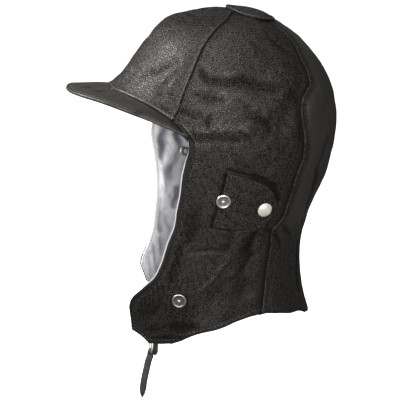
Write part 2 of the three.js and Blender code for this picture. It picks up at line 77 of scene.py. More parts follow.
TOWARDS_CAMERA = np.array([
    math.sin(CAMERA_TURN) * math.cos(CAMERA_RISE),
    -math.cos(CAMERA_TURN) * math.cos(CAMERA_RISE),
    math.sin(CAMERA_RISE),
])


def place_camera():
    data = bpy.data.cameras.new("camera")
    data.sensor_width = 36
    data.lens = data.sensor_width * CAMERA_AWAY / FIELD_WIDTH
    data.clip_start = 0.1
    data.clip_end = 50
    camera = bpy.data.objects.new("camera", data)
    bpy.context.scene.collection.objects.link(camera)
    camera.location = Vector((TARGET + TOWARDS_CAMERA * CAMERA_AWAY) * MM)
    camera.rotation_mode = "QUATERNION"
    camera.rotation_quaternion = Vector(-TOWARDS_CAMERA).to_track_quat("-Z", "Y")
    bpy.context.scene.camera = camera


place_camera()

# The shell's surface

# Level sections: front, back and widest are Y of the foremost, rearmost and widest points
STATION, HEIGHT, FRONT, BACK, WIDEST, HALF_WIDTH, FULLNESS = range(7)
SECTIONS = np.array([
    [0, WALL, 0, 0, 0, 0, 0],
    [20, -0.5, -25, 24, 2, 20, 0],
    [42, -7, -49.5, 46, 4, 41, 0.04],
    [71, -26.5, -67, 74, 8, 62, 0.06],
    [102, -54.5, -87, 97, 12, 75.5, 0.05],
    [140, -92.5, -100, 109, 14, 81, 0.02],
    [182, -134.5, -106, 104, 14, 79, 0],
    [222, -174.5, -110, 88, 8, 73, 0],
    [263, -214.5, -113, 77, 0, 66, 0],
    [309, -260.5, -114, 79, -4, 62, 0],
    [363, -314.5, -112, 93, -6, 64, 0],
], float)

# How the brow flares out over the peak, and how the right flap swings back, in millimetres and degrees
FLARE = {"reach": 11, "from": 90, "to": 112, "half_turn": 52, "until": 160, "droop": 3}
SWING = {"from": 130, "to": 320, "back": 25, "up": 18, "out": 7, "full_turn": 70, "no_turn": 125}

# Soft dents (depth above 0) and rolls (below 0), each along a line from a to b:
# side, turn a, station a, turn b, station b, width, depth
FOLDS = [
    (1, 72, 104, 90, 100, 11, 2.2),
    (1, 98, 102, 104, 112, 12, 1.8),
    (1, 122, 108, 104, 138, 8, 1.5),
    (1, 100, 246, 99, 300, 8, 2.0),
    (1, 88, 252, 86, 290, 9, -1.2),
    (1, 66, 250, 62, 285, 9, 1.5),
    (1, 52, 332, 74, 328, 7, -1.6),
    (1, 153, 118, 158, 180, 9, 2.6),
    (1, 158, 180, 150, 232, 9, 2.2),
    (1, 140, 96, 140, 160, 9, -1.4),
    (1, 116, 241, 150, 241, 8, 1.8),
    (-1, 76, 100, 94, 108, 11, 2.0),
    (-1, 150, 120, 154, 215, 10, 2.4),
    (-1, 96, 190, 92, 260, 12, 2.2),
    (-1, 116, 241, 150, 241, 8, 1.8),
]
# Sharper creases, each with its raised shoulders, also painted darker as shade, in the same columns after the
# side
CREASES = [
    (60, 87, 66, 93, 4, 1.3),
    (66, 94, 106, 104, 6.5, 1.5),
    (61, 108, 73, 112, 5, 1.2),
    (67.5, 126, 67.5, 138, 2.6, 1.2),
    (94, 124, 96, 146, 4.5, 1.5),
    (84, 116, 92, 132, 6, 0.9),
    (112, 104, 118, 120, 7, 1.6),
    (118, 120, 116, 152, 5, 1.4),
    (119, 56, 128, 76, 4, 1.2),
    (100, 62, 112, 78, 5, 0.8),
    (52, 123, 63, 128, 3, 0.9),
    (58, 147, 84, 149, 4, 0.8),
    (100, 146, 108, 166, 4.5, 0.9),
    (20, 101, 44, 78, 6, 0.9),
    (37, 103, 43, 114, 3.2, 0.9),
    (46, 88, 41, 104, 3, 0.6),
    (10, 60, 34, 52, 7, 0.7),
    (137, 156, 133.5, 186, 3.0, 1.5),
    (133.5, 186, 137, 213, 3.8, 2.2),
    (137, 213, 147, 244, 3.8, 2.0),
    (109, 238, 121, 260, 3, 1.7),
    (116, 232, 128, 250, 3, 1.5),
    (146, 264, 150, 312, 4.2, 1.7),
    (112, 246, 124, 244, 3, 0.9),
    (104, 228, 107, 238, 2.6, 1.3),
    (66, 212, 63, 244, 6, 1.4),
    (61, 248, 57, 286, 5, 1.3),
    (85, 238, 85, 260, 4, 1.1),
    (99, 240, 96, 276, 5, 1.5),
    (66, 256, 87, 256, 2.6, 0.7),
    (89, 284, 78, 306, 5, 0.8),
    (60, 331, 72, 330, 4.5, 1.9),
    (45, 334, 52, 334, 3.6, 1.6),
    (43, 321, 54, 311, 5, 0.8),
    (145, 106, 133, 145, 2.2, 0.5),
]
# Rolls, which rise where the creases sink and are painted lighter as highlights, in the same columns
ROLLS = [
    (120, 97, 108, 112, 7, 0.9),
    (108, 112, 96, 125, 6, 0.9),
    (57, 139, 86, 140, 5, 0.6),
    (84, 139, 101, 169, 5, 0.7),
    (93, 140, 110, 170, 4, 0.5),
    (104, 238, 103, 258, 3.4, 0.9),
    (84, 270, 75, 297, 1.9, 0.8),
    (48, 340, 66, 339, 3.4, 1.0),
    (45, 96, 49, 112, 3, 0.6),
    (142, 168, 141, 204, 3.4, 0.8),
    (96, 262, 88, 286, 3, 0.6),
    (60, 300, 56, 322, 5, 0.7),
]
# Pressed lines of the panel round the ear flap, each both a dent and a painted shadow band, in the same
# columns
FLAP_SEAT = [
    (77, 175.5, 90, 182.5, 1.5, 0.9),
    (90, 182.5, 101.5, 194, 2.0, 1.7),
    (101.5, 194, 107, 209, 2.0, 1.6),
    (107, 209, 106, 222, 1.6, 1.0),
    (76.2, 179, 73.2, 231, 0.9, 1.3),
    (73.5, 232, 84, 235.8, 0.9, 0.9),
    (84, 235.8, 93.5, 234.4, 0.9, 0.9),
    (93.5, 234.4, 102.5, 229.4, 1.1, 1.0),
]
# How far forward, in degrees, and up, in millimetres, the right ear flap is sewn on
RIGHT_EAR = {"forward": 5.5, "up": 3}
# Folds (depth above 0) and billows (below 0) of the lining, painted darker and lighter as shade, in the same
# columns
LINING_FOLDS = [
    (61, 168, 56, 206, 4.5, 2.0),
    (68, 172, 67.5, 196, 3.2, 2.4),
    (67, 200, 60, 232, 4.5, 1.6),
    (65, 238, 64, 258, 4, 2.2),
    (53, 252, 52, 282, 4, 1.3),
    (58, 268, 57, 292, 2.4, 0.9),
    (51, 290, 52, 308, 3, 1.1),
    (45, 296, 46, 312, 2.4, 0.9),
    (65, 186, 57, 216, 3.4, -1.8),
    (58, 224, 57, 244, 7, -1.5),
    (54, 160, 53, 220, 4, -1.0),
    (44, 308, 41, 330, 3.4, -1.6),
    (38, 312, 36, 330, 2.6, -1.0),
    (62, 280, 60, 300, 4, -0.8),
    (72, 200, 74, 260, 7, 1.5),
    (80, 170, 84, 300, 8, -1.6),
    (92, 150, 90, 290, 8, 1.8),
    (104, 170, 100, 300, 7, -1.4),
]
# The right side's creases are the left ones, moved by this turn and station and a little weaker
RIGHT_CREASES = {"shift": (-3.0, -5.0), "share": 0.9}
# Millimetres round the crown for one degree of turn
MM_PER_TURN = 1.35


def hermite(t, start, leaving, end, arriving):
    """A smooth run from start to end, with the slopes at which it leaves and arrives."""
    return (
        (2 * t**3 - 3 * t**2 + 1) * start + (t**3 - 2 * t**2 + t) * leaving
        + (3 * t**2 - 2 * t**3) * end + (t**3 - t**2) * arriving
    )


def smoothstep(value, low, high):
    """0 up to low, 1 from high on, and a smooth rise between them."""
    t = np.clip((value - low) / (high - low), 0, 1)
    return t * t * (3 - 2 * t)


def fade(value, low, high):
    """1 up to low, 0 from high on, and a smooth fall between them."""
    return 1 - smoothstep(value, low, high)


def column_slopes(column):
    """Slope of one column at each section, from the sections before and after it."""
    place = np.arange(len(SECTIONS))
    before, after = np.maximum(place - 1, 0), np.minimum(place + 1, place[-1])
    rise = SECTIONS[after, column] - SECTIONS[before, column]
    slopes = rise / (SECTIONS[after, STATION] - SECTIONS[before, STATION])
    if column == HEIGHT:
        slopes[0] = 0
    return slopes


SLOPES = [column_slopes(column) for column in range(len(SECTIONS[0]))]


def section_at(station):
    """Height, front, back, widest, half width and fullness of the section at each station."""
    i = np.clip(np.searchsorted(SECTIONS[:, STATION], station) - 1, 0, len(SECTIONS) - 2)
    a, b = SECTIONS[i], SECTIONS[i + 1]
    span = b[..., STATION] - a[..., STATION]
    t = (station - a[..., STATION]) / span
    return [
        hermite(t, a[..., k], span * SLOPES[k][i], b[..., k], span * SLOPES[k][i + 1])
        for k in range(HEIGHT, FULLNESS + 1)
    ]


def line_distance(across, station, turn_a, station_a, turn_b, station_b):
    """Distance from a line between two places, and how far along it, 0 to 1."""
    ax, dx = turn_a * MM_PER_TURN, (turn_b - turn_a) * MM_PER_TURN
    dy = station_b - station_a
    t = np.clip(((across - ax) * dx + (station - station_a) * dy) / (dx * dx + dy * dy), 0, 1)
    return np.hypot(across - ax - t * dx, station - station_a - t * dy), t


def line_marks(marks, turn, station):
    """Sum of soft dents along lines of turn and station."""
    side = np.where(turn < 0, -1, 1)
    total = np.zeros(turn.shape)
    for mark_side, turn_a, station_a, turn_b, station_b, width, depth in marks:
        away, _ = line_distance(np.abs(turn) * MM_PER_TURN, station, turn_a, station_a, turn_b, station_b)
        total += np.where(side == mark_side, depth * np.exp(-((away / width) ** 2)), 0)
    return total


def wavy_marks(marks, turn, station, shift=(0, 0), share=1):
    """Sum of creases that wander a little and have raised shoulders and a soft end."""
    across = (np.abs(turn) + shift[0]) * MM_PER_TURN
    down = station + shift[1]
    bent = across + 1.3 * np.sin(down / 6.5 + across / 17) + 0.6 * np.sin(down / 2.9 + 1)
    dropped = down + 1.2 * np.sin(across / 7.5 + down / 21) + 0.5 * np.sin(across / 3.1 + 2)
    total = np.zeros(turn.shape)
    for turn_a, station_a, turn_b, station_b, width, depth in marks:
        away, t = line_distance(bent, dropped, turn_a, station_a, turn_b, station_b)
        span = 0.72 + 0.28 * np.sin(math.pi * t)
        x = away / width / span
        total += share * depth * span * (np.exp(-x * x) * 1.25 - 0.25 * np.exp(-((x / 2.2) ** 2)))
    return total


def flap_seat(turn, station):
    """The panel is pressed in along the ear flap's edges."""
    right = turn < 0
    turn = np.where(right, RIGHT_EAR["forward"] - turn, turn)
    station = np.where(right, station + RIGHT_EAR["up"], station)
    return line_marks([(1, *line) for line in FLAP_SEAT], turn, station)


def creases(turn, station):
    """Creases less rolls, each side with its own set, which blend where the sides meet."""
    def one_side(shift, share):
        sets = [wavy_marks(marks, turn, station, shift, share) for marks in (CREASES, ROLLS)]
        return sets[0] - sets[1]

    left, right = one_side((0, 0), 1), one_side(**RIGHT_CREASES)
    meeting = smoothstep(turn, -9, 9)
    behind = smoothstep(np.abs(turn), 166, 176)
    return (left * meeting + right * (1 - meeting)) * (1 - behind) + (left + right) / 2 * behind


def shell(turn, station):
    """Points of the smooth outer surface, with its soft dents, the flare in front and the swung flap."""
    turn, station = np.broadcast_arrays(np.asarray(turn, float), np.asarray(station, float))
    height, front, back, widest, half_width, fullness = section_at(station)
    sin, cos = np.sin(np.radians(turn)), np.cos(np.radians(turn))
    half = (back - front) / 2
    lean = (back + front) / 2 - widest
    x = half_width * sin * (1 + fullness * cos * cos)
    y = widest - half * cos + lean * cos * cos
    z = height
    reach = np.maximum(np.hypot(x, y - widest), 1e-6)
    depth = line_marks(FOLDS, turn, station)
    x, y = x - depth * x / reach, y - depth * (y - widest) / reach
    flared = (np.abs(turn) < FLARE["half_turn"]) & (station < FLARE["until"])
    rise = np.clip((station - FLARE["from"]) / (FLARE["to"] - FLARE["from"]), 0, 1.3)
    share = np.cos(turn / FLARE["half_turn"] * math.pi / 2) ** 2
    push = np.where(flared, FLARE["reach"] * share * rise**3, 0)
    x, y = x + push * sin, y - push * cos
    aside = np.sin(turn / FLARE["half_turn"] * math.pi) ** 2
    z = z - np.where(flared & (turn < 0), FLARE["droop"] * aside * np.minimum(rise, 1), 0)
    swung = (turn < 0) & (station > SWING["from"])
    grown = np.clip((station - SWING["from"]) / (SWING["to"] - SWING["from"]), 0, 1.1) ** 1.5
    share = 1 - smoothstep(-turn, SWING["full_turn"], SWING["no_turn"])
    x = x - np.where(swung, SWING["out"] * grown * 4 * share * (1 - share), 0)
    y = y + np.where(swung, SWING["back"] * grown * share, 0)
    z = z + np.where(swung, SWING["up"] * grown * share, 0)
    return np.stack([x, y, z], -1)


def unit(vectors):
    return vectors / np.linalg.norm(vectors, axis=-1, keepdims=True)


def frame_at(turn, station):
    """Directions down the shell, round it and out of it."""
    turn, station = np.asarray(turn, float), np.asarray(station, float)
    step = 0.4
    down = unit(shell(turn, station + step) - shell(turn, station - step))
    about = unit(shell(turn + step, station) - shell(turn - step, station))
    return down, about, unit(np.cross(down, about))


def on_shell(turn, station, rise):
    """Points that lie a given rise out of the shell."""
    rise = np.asarray(rise, float)
    return shell(turn, station) + rise[..., None] * frame_at(turn, station)[2]


# Lines drawn on the shell laid flat round its apex, where distance is the station

FRONT_SEAM = [
    (156, 22), (124, 14), (84, 30), (67, 50), (60, 64), (57, 78), (55, 92), (53, 106), (51, 122), (49, 132),
]
BACK_SEAM = [
    (163, 30), (152, 47), (145, 67), (136, 82), (132, 97), (130, 105), (120, 118), (117, 131),
    (118, 152), (118, 171), (115, 187), (115, 208), (114, 230), (110, 240), (112, 261), (112, 285),
    (111, 309), (110, 323),
]
BROW_LINE = [(0, 112), (10, 112.5), (23, 114), (35, 119), (43, 126), (49, 132), (53.5, 138), (58, 147)]
FACE_EDGE = [
    (58, 147), (58.5, 158), (57, 170), (56, 184), (56, 200), (55.5, 216), (55.5, 233), (54, 247),
    (52, 269), (49, 283), (42.5, 295), (34.5, 309), (33.5, 315),
]
RIGHT_FACE_EDGE = [
    (58, 147), (58.3, 155), (54, 164), (52.4, 174), (52.4, 184), (53.4, 200), (54, 224), (53.4, 244),
    (51, 265), (48.4, 281), (43, 295), (35, 310), (33.5, 315),
]
CHIN_CORNER = (35.5, 337)
CHIN_HEM = [(46.5, 348), (53.3, 347.6), (60, 347)]
SIDE_HEM = [(60, 347), (66, 343), (83.5, 334), (96.5, 326.5), (110, 323)]
BACK_HEM = [(110, 323), (123, 325), (138, 330), (160, 339), (172, 341.3), (180, 341.8)]
SEAM_MEETING = np.array([9.0, 24.5])


def to_flat(places):
    """Turns and stations as points of the shell laid flat."""
    places = np.atleast_2d(np.array(places, float))
    turn, station = np.radians(places[:, 0]), places[:, 1]
    return np.stack([station * np.sin(turn), -station * np.cos(turn)], -1)


def from_flat(flat):
    """Turn and station of points of the shell laid flat."""
    return np.degrees(np.arctan2(flat[..., 0], -flat[..., 1])), np.hypot(flat[..., 0], flat[..., 1])


def curve_through(points, density=24):
    """A centripetal Catmull-Rom curve through the points, as a fine polyline."""
    points = np.asarray(points, float)
    ends = [2 * points[0] - points[1], *points, 2 * points[-1] - points[-2]]
    fine = []
    for k in range(1, len(ends) - 2):
        p = ends[k - 1:k + 3]
        gaps = [max(np.linalg.norm(p[j + 1] - p[j]) ** 0.5, 1e-4) for j in range(3)]
        first = (p[1] - p[0]) / gaps[0] - (p[2] - p[0]) / (gaps[0] + gaps[1]) + (p[2] - p[1]) / gaps[1]
        second = (p[2] - p[1]) / gaps[1] - (p[3] - p[1]) / (gaps[1] + gaps[2]) + (p[3] - p[2]) / gaps[2]
        t = np.linspace(0, 1, density, endpoint=False)[:, None]
        fine.append(hermite(t, p[1], first * gaps[1], p[2], second * gaps[1]))
    return np.concatenate([*fine, points[-1:]])


def arc_lengths(points):
    """Distance of each point of a line from its start, along the line."""
    return np.concatenate([[0], np.cumsum(np.linalg.norm(np.diff(points, axis=0), axis=1))])


def along(points, fractions):
    """Points at the given fractions of a line's length."""
    lengths = arc_lengths(points)
    wanted = np.asarray(fractions) * lengths[-1]
    return np.stack([np.interp(wanted, lengths, points[:, k]) for k in range(points.shape[1])], -1)


def chain(*lines):
    """Lines joined end to end, and the fraction of the length at which each of them ends."""
    points = np.concatenate([lines[0], *[line[1:] for line in lines[1:]]])
    lengths = [arc_lengths(line)[-1] for line in lines]
    return points, np.cumsum(lengths) / sum(lengths)


def steps_between(stops, spacing):
    """Fractions from 0 to 1 that hit every stop, about spacing apart, and closer at the two ends."""
    marks = [0.0]
    for stop in stops:
        count = max(int(round((stop - marks[-1]) / spacing)), 1)
        marks.extend(np.linspace(marks[-1], stop, count + 1)[1:])
    marks = np.array(marks)
    closer = EDGE_STEPS * spacing / STEP
    clear = closer[-1] + spacing * 0.4
    return np.concatenate([[0], closer, marks[(marks > clear) & (marks < 1 - clear)], 1 - closer[::-1], [1]])


def patchwork(left, right, top, bottom, down, across):
    """A grid of flat points between four lines: rows run down, columns from left to right."""
    t, s = down[:, None, None], across[None, :, None]
    sides = (1 - s) * along(left, down)[:, None] + s * along(right, down)[:, None]
    ends = (1 - t) * along(top, across)[None] + t * along(bottom, across)[None]
    corners = (1 - t) * ((1 - s) * top[0] + s * top[-1]) + t * ((1 - s) * bottom[0] + s * bottom[-1])
    return sides + ends - corners


def mirrored(line):
    """The same flat points on the other side."""
    return line * np.array([-1.0, 1.0])


# Mesh making


def show(name, mesh):
    """The object that shows a mesh as a part of the helmet."""
    mesh.polygons.foreach_set("use_smooth", [True] * len(mesh.polygons))
    piece = bpy.data.objects.new(name, mesh)
    bpy.context.scene.collection.objects.link(piece)
    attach(piece, "root")
    return piece


def make_piece(name, points, faces, material, layers, sharp=38):
    """The piece that replaces the solid of its name, with each layer's value at each point."""
    mesh = bpy.data.meshes.new(name)
    mesh.from_pydata((np.asarray(points) * MM).tolist(), [], faces)
    mesh.validate()
    mesh.set_sharp_from_angle(angle=math.radians(sharp))
    for layer, values in layers.items():
        attribute = mesh.attributes.new(layer, "FLOAT", "POINT")
        attribute.data.foreach_set("value", np.asarray(values, np.float32).ravel())
    mesh.materials.append(material)
    piece = show(name, mesh)
    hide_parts(name)
    return piece


def grid_faces(rows, columns, start=0, flipped=False):
    """Quads of a grid of points that starts at a given number."""
    r, c = np.meshgrid(np.arange(rows - 1), np.arange(columns - 1), indexing="ij")
    a = (start + r * columns + c).ravel()
    quads = np.stack([a, a + columns, a + columns + 1, a + 1], -1)
    return quads[:, ::-1] if flipped else quads


def sheet_faces(rows, columns):
    """A closed sheet: the outer grid, then the inner one, and the wall between them."""
    count = rows * columns
    faces = [grid_faces(rows, columns), grid_faces(rows, columns, count, True)]
    r = np.arange(rows - 1) * columns
    faces.append(np.stack([r, r + count, r + columns + count, r + columns], -1))
    r = r + columns - 1
    faces.append(np.stack([r, r + columns, r + columns + count, r + count], -1))
    c = np.arange(columns - 1)
    faces.append(np.stack([c, c + 1, c + 1 + count, c + count], -1))
    c = c + (rows - 1) * columns
    faces.append(np.stack([c, c + count, c + 1 + count, c + 1], -1))
    return np.concatenate(faces).tolist()


def tube_faces(rings, sides, closed=False):
    """Rings of points joined in turn, with capped ends unless it closes on itself."""
    faces = []
    for i in range(rings if closed else rings - 1):
        here, ahead = i * sides, ((i + 1) % rings) * sides
        for k in range(sides):
            m = (k + 1) % sides
            faces.append((here + k, here + m, ahead + m, ahead + k))
    if not closed:
        faces.append(tuple(reversed(range(sides))))
        faces.append(tuple(range((rings - 1) * sides, rings * sides)))
    return faces


def unevenness(points, size, seed):
    """Soft, even noise in space, about -1 to 1, with lumps of the given size."""
    random = np.random.default_rng(seed)
    total = np.zeros(points.shape[:-1])
    for _ in range(9):
        way = unit(random.normal(size=3)) * (2 * math.pi / (size * random.uniform(0.7, 1.8)))
        bend = unit(random.normal(size=3)) * (2 * math.pi / (size * random.uniform(1.5, 3)))
        bent = 1.6 * np.sin(points @ bend + random.uniform(0, 6))
        total += np.sin(points @ way + bent + random.uniform(0, 6))
    return total / 3.6


# Materials


class Link:
    """A socket that sums can be written with."""

    def __init__(self, finish, socket):
        self.finish = finish
        self.socket = socket

    def maths(self, operation, first, second):
        return self.finish.node("ShaderNodeMath", {"operation": operation}, {0: first, 1: second})

    def __add__(self, other):
        return self.maths("ADD", self, other)

    def __radd__(self, other):
        return self.maths("ADD", other, self)

    def __sub__(self, other):
        return self.maths("SUBTRACT", self, other)

    def __rsub__(self, other):
        return self.maths("SUBTRACT", other, self)

    def __mul__(self, other):
        return self.maths("MULTIPLY", self, other)

    def __rmul__(self, other):
        return self.maths("MULTIPLY", other, self)

    def between(self, low, high):
        """0 at the low value, 1 at the high one, and smooth between them."""
        sockets = {"Value": self, "From Min": low, "From Max": high}
        return self.finish.node("ShaderNodeMapRange", {"interpolation_type": "SMOOTHSTEP"}, sockets)


# The largest share of dull dark ground in a finish
DEEPEST = 0.92


class Finish:
    """One material's nodes."""

    def __init__(self, name):
        self.material = bpy.data.materials.new(name)
        self.material.use_nodes = True
        self.tree = self.material.node_tree
        self.shader = self.tree.nodes["Principled BSDF"]

    def node(self, kind, settings=None, sockets=None, result=0):
        made = self.tree.nodes.new(kind)
        for key, value in (settings or {}).items():
            setattr(made, key, value)
        for key, value in (sockets or {}).items():
            self.feed(made.inputs[key], value)
        return Link(self, made.outputs[result])

    def feed(self, target, value):
        if isinstance(value, Link):
            self.tree.links.new(value.socket, target)
        else:
            target.default_value = value

    def set(self, **values):
        for key, value in values.items():
            self.feed(self.shader.inputs[key.replace("_", " ")], value)

    def layer(self, name):
        return self.node("ShaderNodeAttribute", {"attribute_name": name}, result="Fac")

    def place(self, stretch=(1, 1, 1)):
        coordinates = self.node("ShaderNodeTexCoord", result="Object")
        return self.node("ShaderNodeMapping", None, {"Vector": coordinates, "Scale": stretch})

    def noise(self, place, scale, detail=2.0, roughness=0.5, result="Fac"):
        sockets = {"Vector": place, "Scale": scale, "Detail": detail, "Roughness": roughness}
        return self.node("ShaderNodeTexNoise", None, sockets, result)

    def mix(self, share, low, high):
        return self.node("ShaderNodeMix", {"data_type": "RGBA"}, {0: share, 6: low, 7: high}, 2)

    def stirred(self, place, scale, amount):
        """The place pushed about by noise, by up to half the amount."""
        push = self.noise(place, scale, 1.0, result="Color")
        push = self.node("ShaderNodeVectorMath", {"operation": "SCALE"}, {0: push, "Scale": amount})
        return self.node("ShaderNodeVectorMath", {"operation": "ADD"}, {0: place, 1: push})

    def sink(self, share, tone):
        """Dull dark ground that shows through where the share is high."""
        dark = self.node("ShaderNodeBsdfDiffuse", None, {"Color": tone})
        share = self.node("ShaderNodeMath", {"operation": "MINIMUM"}, {0: share, 1: DEEPEST})
        shiny = Link(self, self.shader.outputs[0])
        both = self.node("ShaderNodeMixShader", None, {0: share, 1: shiny, 2: dark})
        self.feed(self.tree.nodes["Material Output"].inputs["Surface"], both)

    def bump(self, height, distance, under=None):
        sockets = {"Height": height, "Distance": distance}
        if under is not None:
            sockets["Normal"] = under
        return self.node("ShaderNodeBump", None, sockets)


def colour(red, green, blue):
    """A colour given as it looks on screen, 0 to 255."""
    linear = [((v / 255 + 0.055) / 1.055) ** 2.4 if v > 10 else v / 255 / 12.92 for v in (red, green, blue)]
    return (*linear, 1.0)


def times(tone, share):
    """A darker or lighter tone of the same hue."""
    return (*(min(v * share, 1) for v in tone[:3]), 1.0)


# Width of one grain of the leather
GRAIN_SIZE = 1.7
# How much dull dark ground shows in the grain's valleys, in the painted dimming of the dull layer and in the
# painted shade at the floor of a fold
DULL_SHARES = {"valley": 0.7, "wear_and_painted_dimming": 0.35, "floor": 0.5}


def leather_finish(name, tone, gloss, grain_depth, smoothness=None):
    """Pebbled leather: shiny rounded grain with dull dark valleys, flatter where the plain layer is high."""
    finish = Finish(name)
    place = finish.place()
    cells = finish.node(
        "ShaderNodeTexVoronoi", {"feature": "DISTANCE_TO_EDGE"},
        {"Vector": finish.stirred(place, 300, 0.0007), "Scale": 1000 / GRAIN_SIZE, "Randomness": 0.78})
    pebble = cells.between(0.05, 0.28)
    fine = finish.noise(place, 1400, 2, 0.6)
    wear_and_painted_dimming = finish.noise(place, 28, 4, 0.6).between(0.32, 0.7)
    rubbed = finish.noise(place, 110, 3, 0.6).between(0.35, 0.7)
    grain = 1 - (finish.layer("plain") * 0.88 if smoothness is None else smoothness)
    # Painted light: this shading layer paints shade into creases, seams and grooves and highlights onto
    # ridges and rims.
    painted_shading_and_mottle = finish.layer("painted_shading_and_mottle")
    valley = (1 - pebble) * grain
    dull = finish.layer("dull")
    ground = finish.mix(painted_shading_and_mottle, times(tone, 0.2), times(tone, 1.9))
    bare = finish.mix(painted_shading_and_mottle, times(tone, 0.5), times(tone, 3.2))
    ground = finish.mix(wear_and_painted_dimming * 0.2 + rubbed * 0.1, ground, bare)
    # Painted shade: where the dull layer is high the colour is painted darker.
    ground = finish.mix(dull * 0.75, ground, times(tone, 0.35))
    finish.set(
        Base_Color=finish.mix(valley * 0.75, ground, times(tone, 0.1)),
        Roughness=gloss + dull * 0.35 + fine * 0.1 - rubbed * 0.06 + (0.5 - painted_shading_and_mottle) * 0.35,
        Specular_IOR_Level=0.8,
        Normal=finish.bump(
            pebble * grain + fine * 0.12, grain_depth,
            finish.bump(finish.noise(finish.stirred(place, 60, 0.012), 120, 3, 0.55), 0.0008)),
    )
    # Painted shade: fold floors and the dull places sink into the dark ground, as do the grain's valleys.
    floor = 1 - painted_shading_and_mottle.between(0.0, 0.44)
    sunk = valley * DULL_SHARES["valley"] + dull * DULL_SHARES["wear_and_painted_dimming"] + floor * DULL_SHARES["floor"]
    finish.sink(sunk, times(tone, 0.35))
    return finish.material


LEATHER_TONE = colour(38, 35, 32)
panel_leather = leather_finish("pebbled leather", LEATHER_TONE, 0.47, 0.00017)
smooth_leather = leather_finish("smooth leather", colour(37, 34, 31), 0.52, 0.0002, 0.82)
strap_leather = leather_finish("strap leather", colour(36, 34, 31), 0.5, 0.0001, 0.85)
edge_leather = leather_finish("dark edge leather", colour(31, 28, 25), 0.55, 0.0001, 0.85)


def satin_finish():
    """Silver satin with fine threads, painted darker down in its folds as shade, with painted shadow blotches
    and a painted highlight on its turned edge.
    """
    finish = Finish("silver satin")
    place = finish.place()
    threads = finish.noise(finish.place((1, 1, 12)), 900, 2, 0.6)
    drift = finish.noise(finish.stirred(place, 55, 0.03), 70, 4, 0.55)
    painted_shading_and_mottle = finish.layer("painted_shading_and_mottle")
    # Painted light: the shading layer paints the folds dark and the turned edge bright.
    base = finish.mix(painted_shading_and_mottle.between(0.0, 0.85), colour(104, 103, 116), colour(220, 220, 224))
    painted_edge_highlight = painted_shading_and_mottle.between(1.0, 1.4)
    base = finish.mix(painted_edge_highlight, base, colour(228, 228, 232))
    shadow = drift.between(0.5, 0.62) * 0.4 * (1 - painted_edge_highlight)
    finish.set(
        Base_Color=finish.mix(shadow, base, colour(140, 139, 151)),
        Roughness=0.4 + threads * 0.16,
        Normal=finish.bump(threads, 0.00006, finish.bump(drift, 0.0012)),
    )
    return finish.material


def metal_finish(name, tone, roughness, tarnish):
    """Plated metal with faint scratches, painted darker and made duller as shade where its shading layer is
    low.
    """
    finish = Finish(name)
    place = finish.place()
    specks = finish.noise(place, 500, 4, 0.6).between(0.5, 0.75) * tarnish
    scratches = finish.noise(finish.place((6, 1, 1)), 900, 2, 0.5)
    shade = 1 - finish.layer("painted_shading_and_mottle").between(0.0, 1.0)
    finish.set(
        Base_Color=finish.mix(specks + shade * 0.9, tone, times(tone, 0.16)),
        Metallic=1.0,
        Roughness=roughness + specks * 0.3 + shade * 0.25 + scratches * 0.08,
        Normal=finish.bump(scratches, 0.00003),
    )
    return finish.material


def cap_finish():
    """Pale, slightly clouded satin metal."""
    finish = Finish("pale satin cap")
    cloud = finish.noise(finish.place(), 260, 3, 0.55)
    finish.set(
        Base_Color=finish.mix(cloud.between(0.35, 0.7), colour(240, 238, 232), colour(206, 204, 196)),
        Metallic=0.2,
        Roughness=0.3 + cloud * 0.15,
        Normal=finish.bump(cloud, 0.00015),
    )
    return finish.material


def thread_finish(name, tone):
    """Twisted thread."""
    finish = Finish(name)
    twist = finish.noise(finish.place(), 2600, 2, 0.5)
    finish.set(
        Base_Color=finish.mix(twist, tone, times(tone, 0.5)),
        Roughness=0.5 + twist * 0.2,
        Normal=finish.bump(twist, 0.00008),
    )
    return finish.material


satin = satin_finish()
bright_nickel = metal_finish("bright nickel", colour(240, 239, 236), 0.36, 0.15)
dull_nickel = metal_finish("dull nickel", colour(176, 175, 168), 0.36, 0.6)
ring_nickel = metal_finish("ring nickel", colour(236, 236, 234), 0.42, 0.2)
pale_cap = cap_finish()
dark_thread = thread_finish("dark thread", colour(92, 90, 87))
black_thread = thread_finish("black thread", colour(62, 60, 58))
grey_thread = thread_finish("grey thread", colour(128, 127, 128))

# Panels and linings


def cumulative(points, axis):
    """Distance of each point from the grid's first row or column, along its line."""
    gaps = np.linalg.norm(np.diff(points, axis=axis), axis=-1)
    zero = np.zeros_like(np.take(gaps, [0], axis=axis))
    return np.concatenate([zero, np.cumsum(gaps, axis=axis)], axis=axis)


class Panel:
    """A panel's grid of places, with each point's distance from the four edges."""

    def __init__(self, flat):
        self.flat = flat
        self.turn, self.station = from_flat(flat)
        points = shell(self.turn, self.station)
        self.points = points
        self.left = cumulative(points, 1)
        self.right = self.left[:, -1:] - self.left
        self.top = cumulative(points, 0)
        self.bottom = self.top[-1:] - self.top

    def cut(self):
        """Width and length of the cloth cut for it, and its area, in metres, measured along the shell."""
        slant = self.points[1:, 1:] - self.points[:-1, :-1]
        other = self.points[1:, :-1] - self.points[:-1, 1:]
        area = np.linalg.norm(np.cross(slant, other), axis=-1).sum() / 2
        return (float(self.left[:, -1].max()) * MM, float(self.top[-1].max()) * MM), float(area) * MM * MM

    def inset(self, edge, amount, rows=slice(None)):
        """Flat points of a line that runs the given amount inside one edge."""
        distance = getattr(self, edge)
        flat = self.flat
        if edge in ("top", "bottom"):
            distance, flat = distance.T, flat.swapaxes(0, 1)
        found = []
        for away, places in zip(distance[rows], flat[rows]):
            order = np.argsort(away)
            found.append([np.interp(amount, away[order], places[order, k]) for k in range(2)])
        return np.array(found)


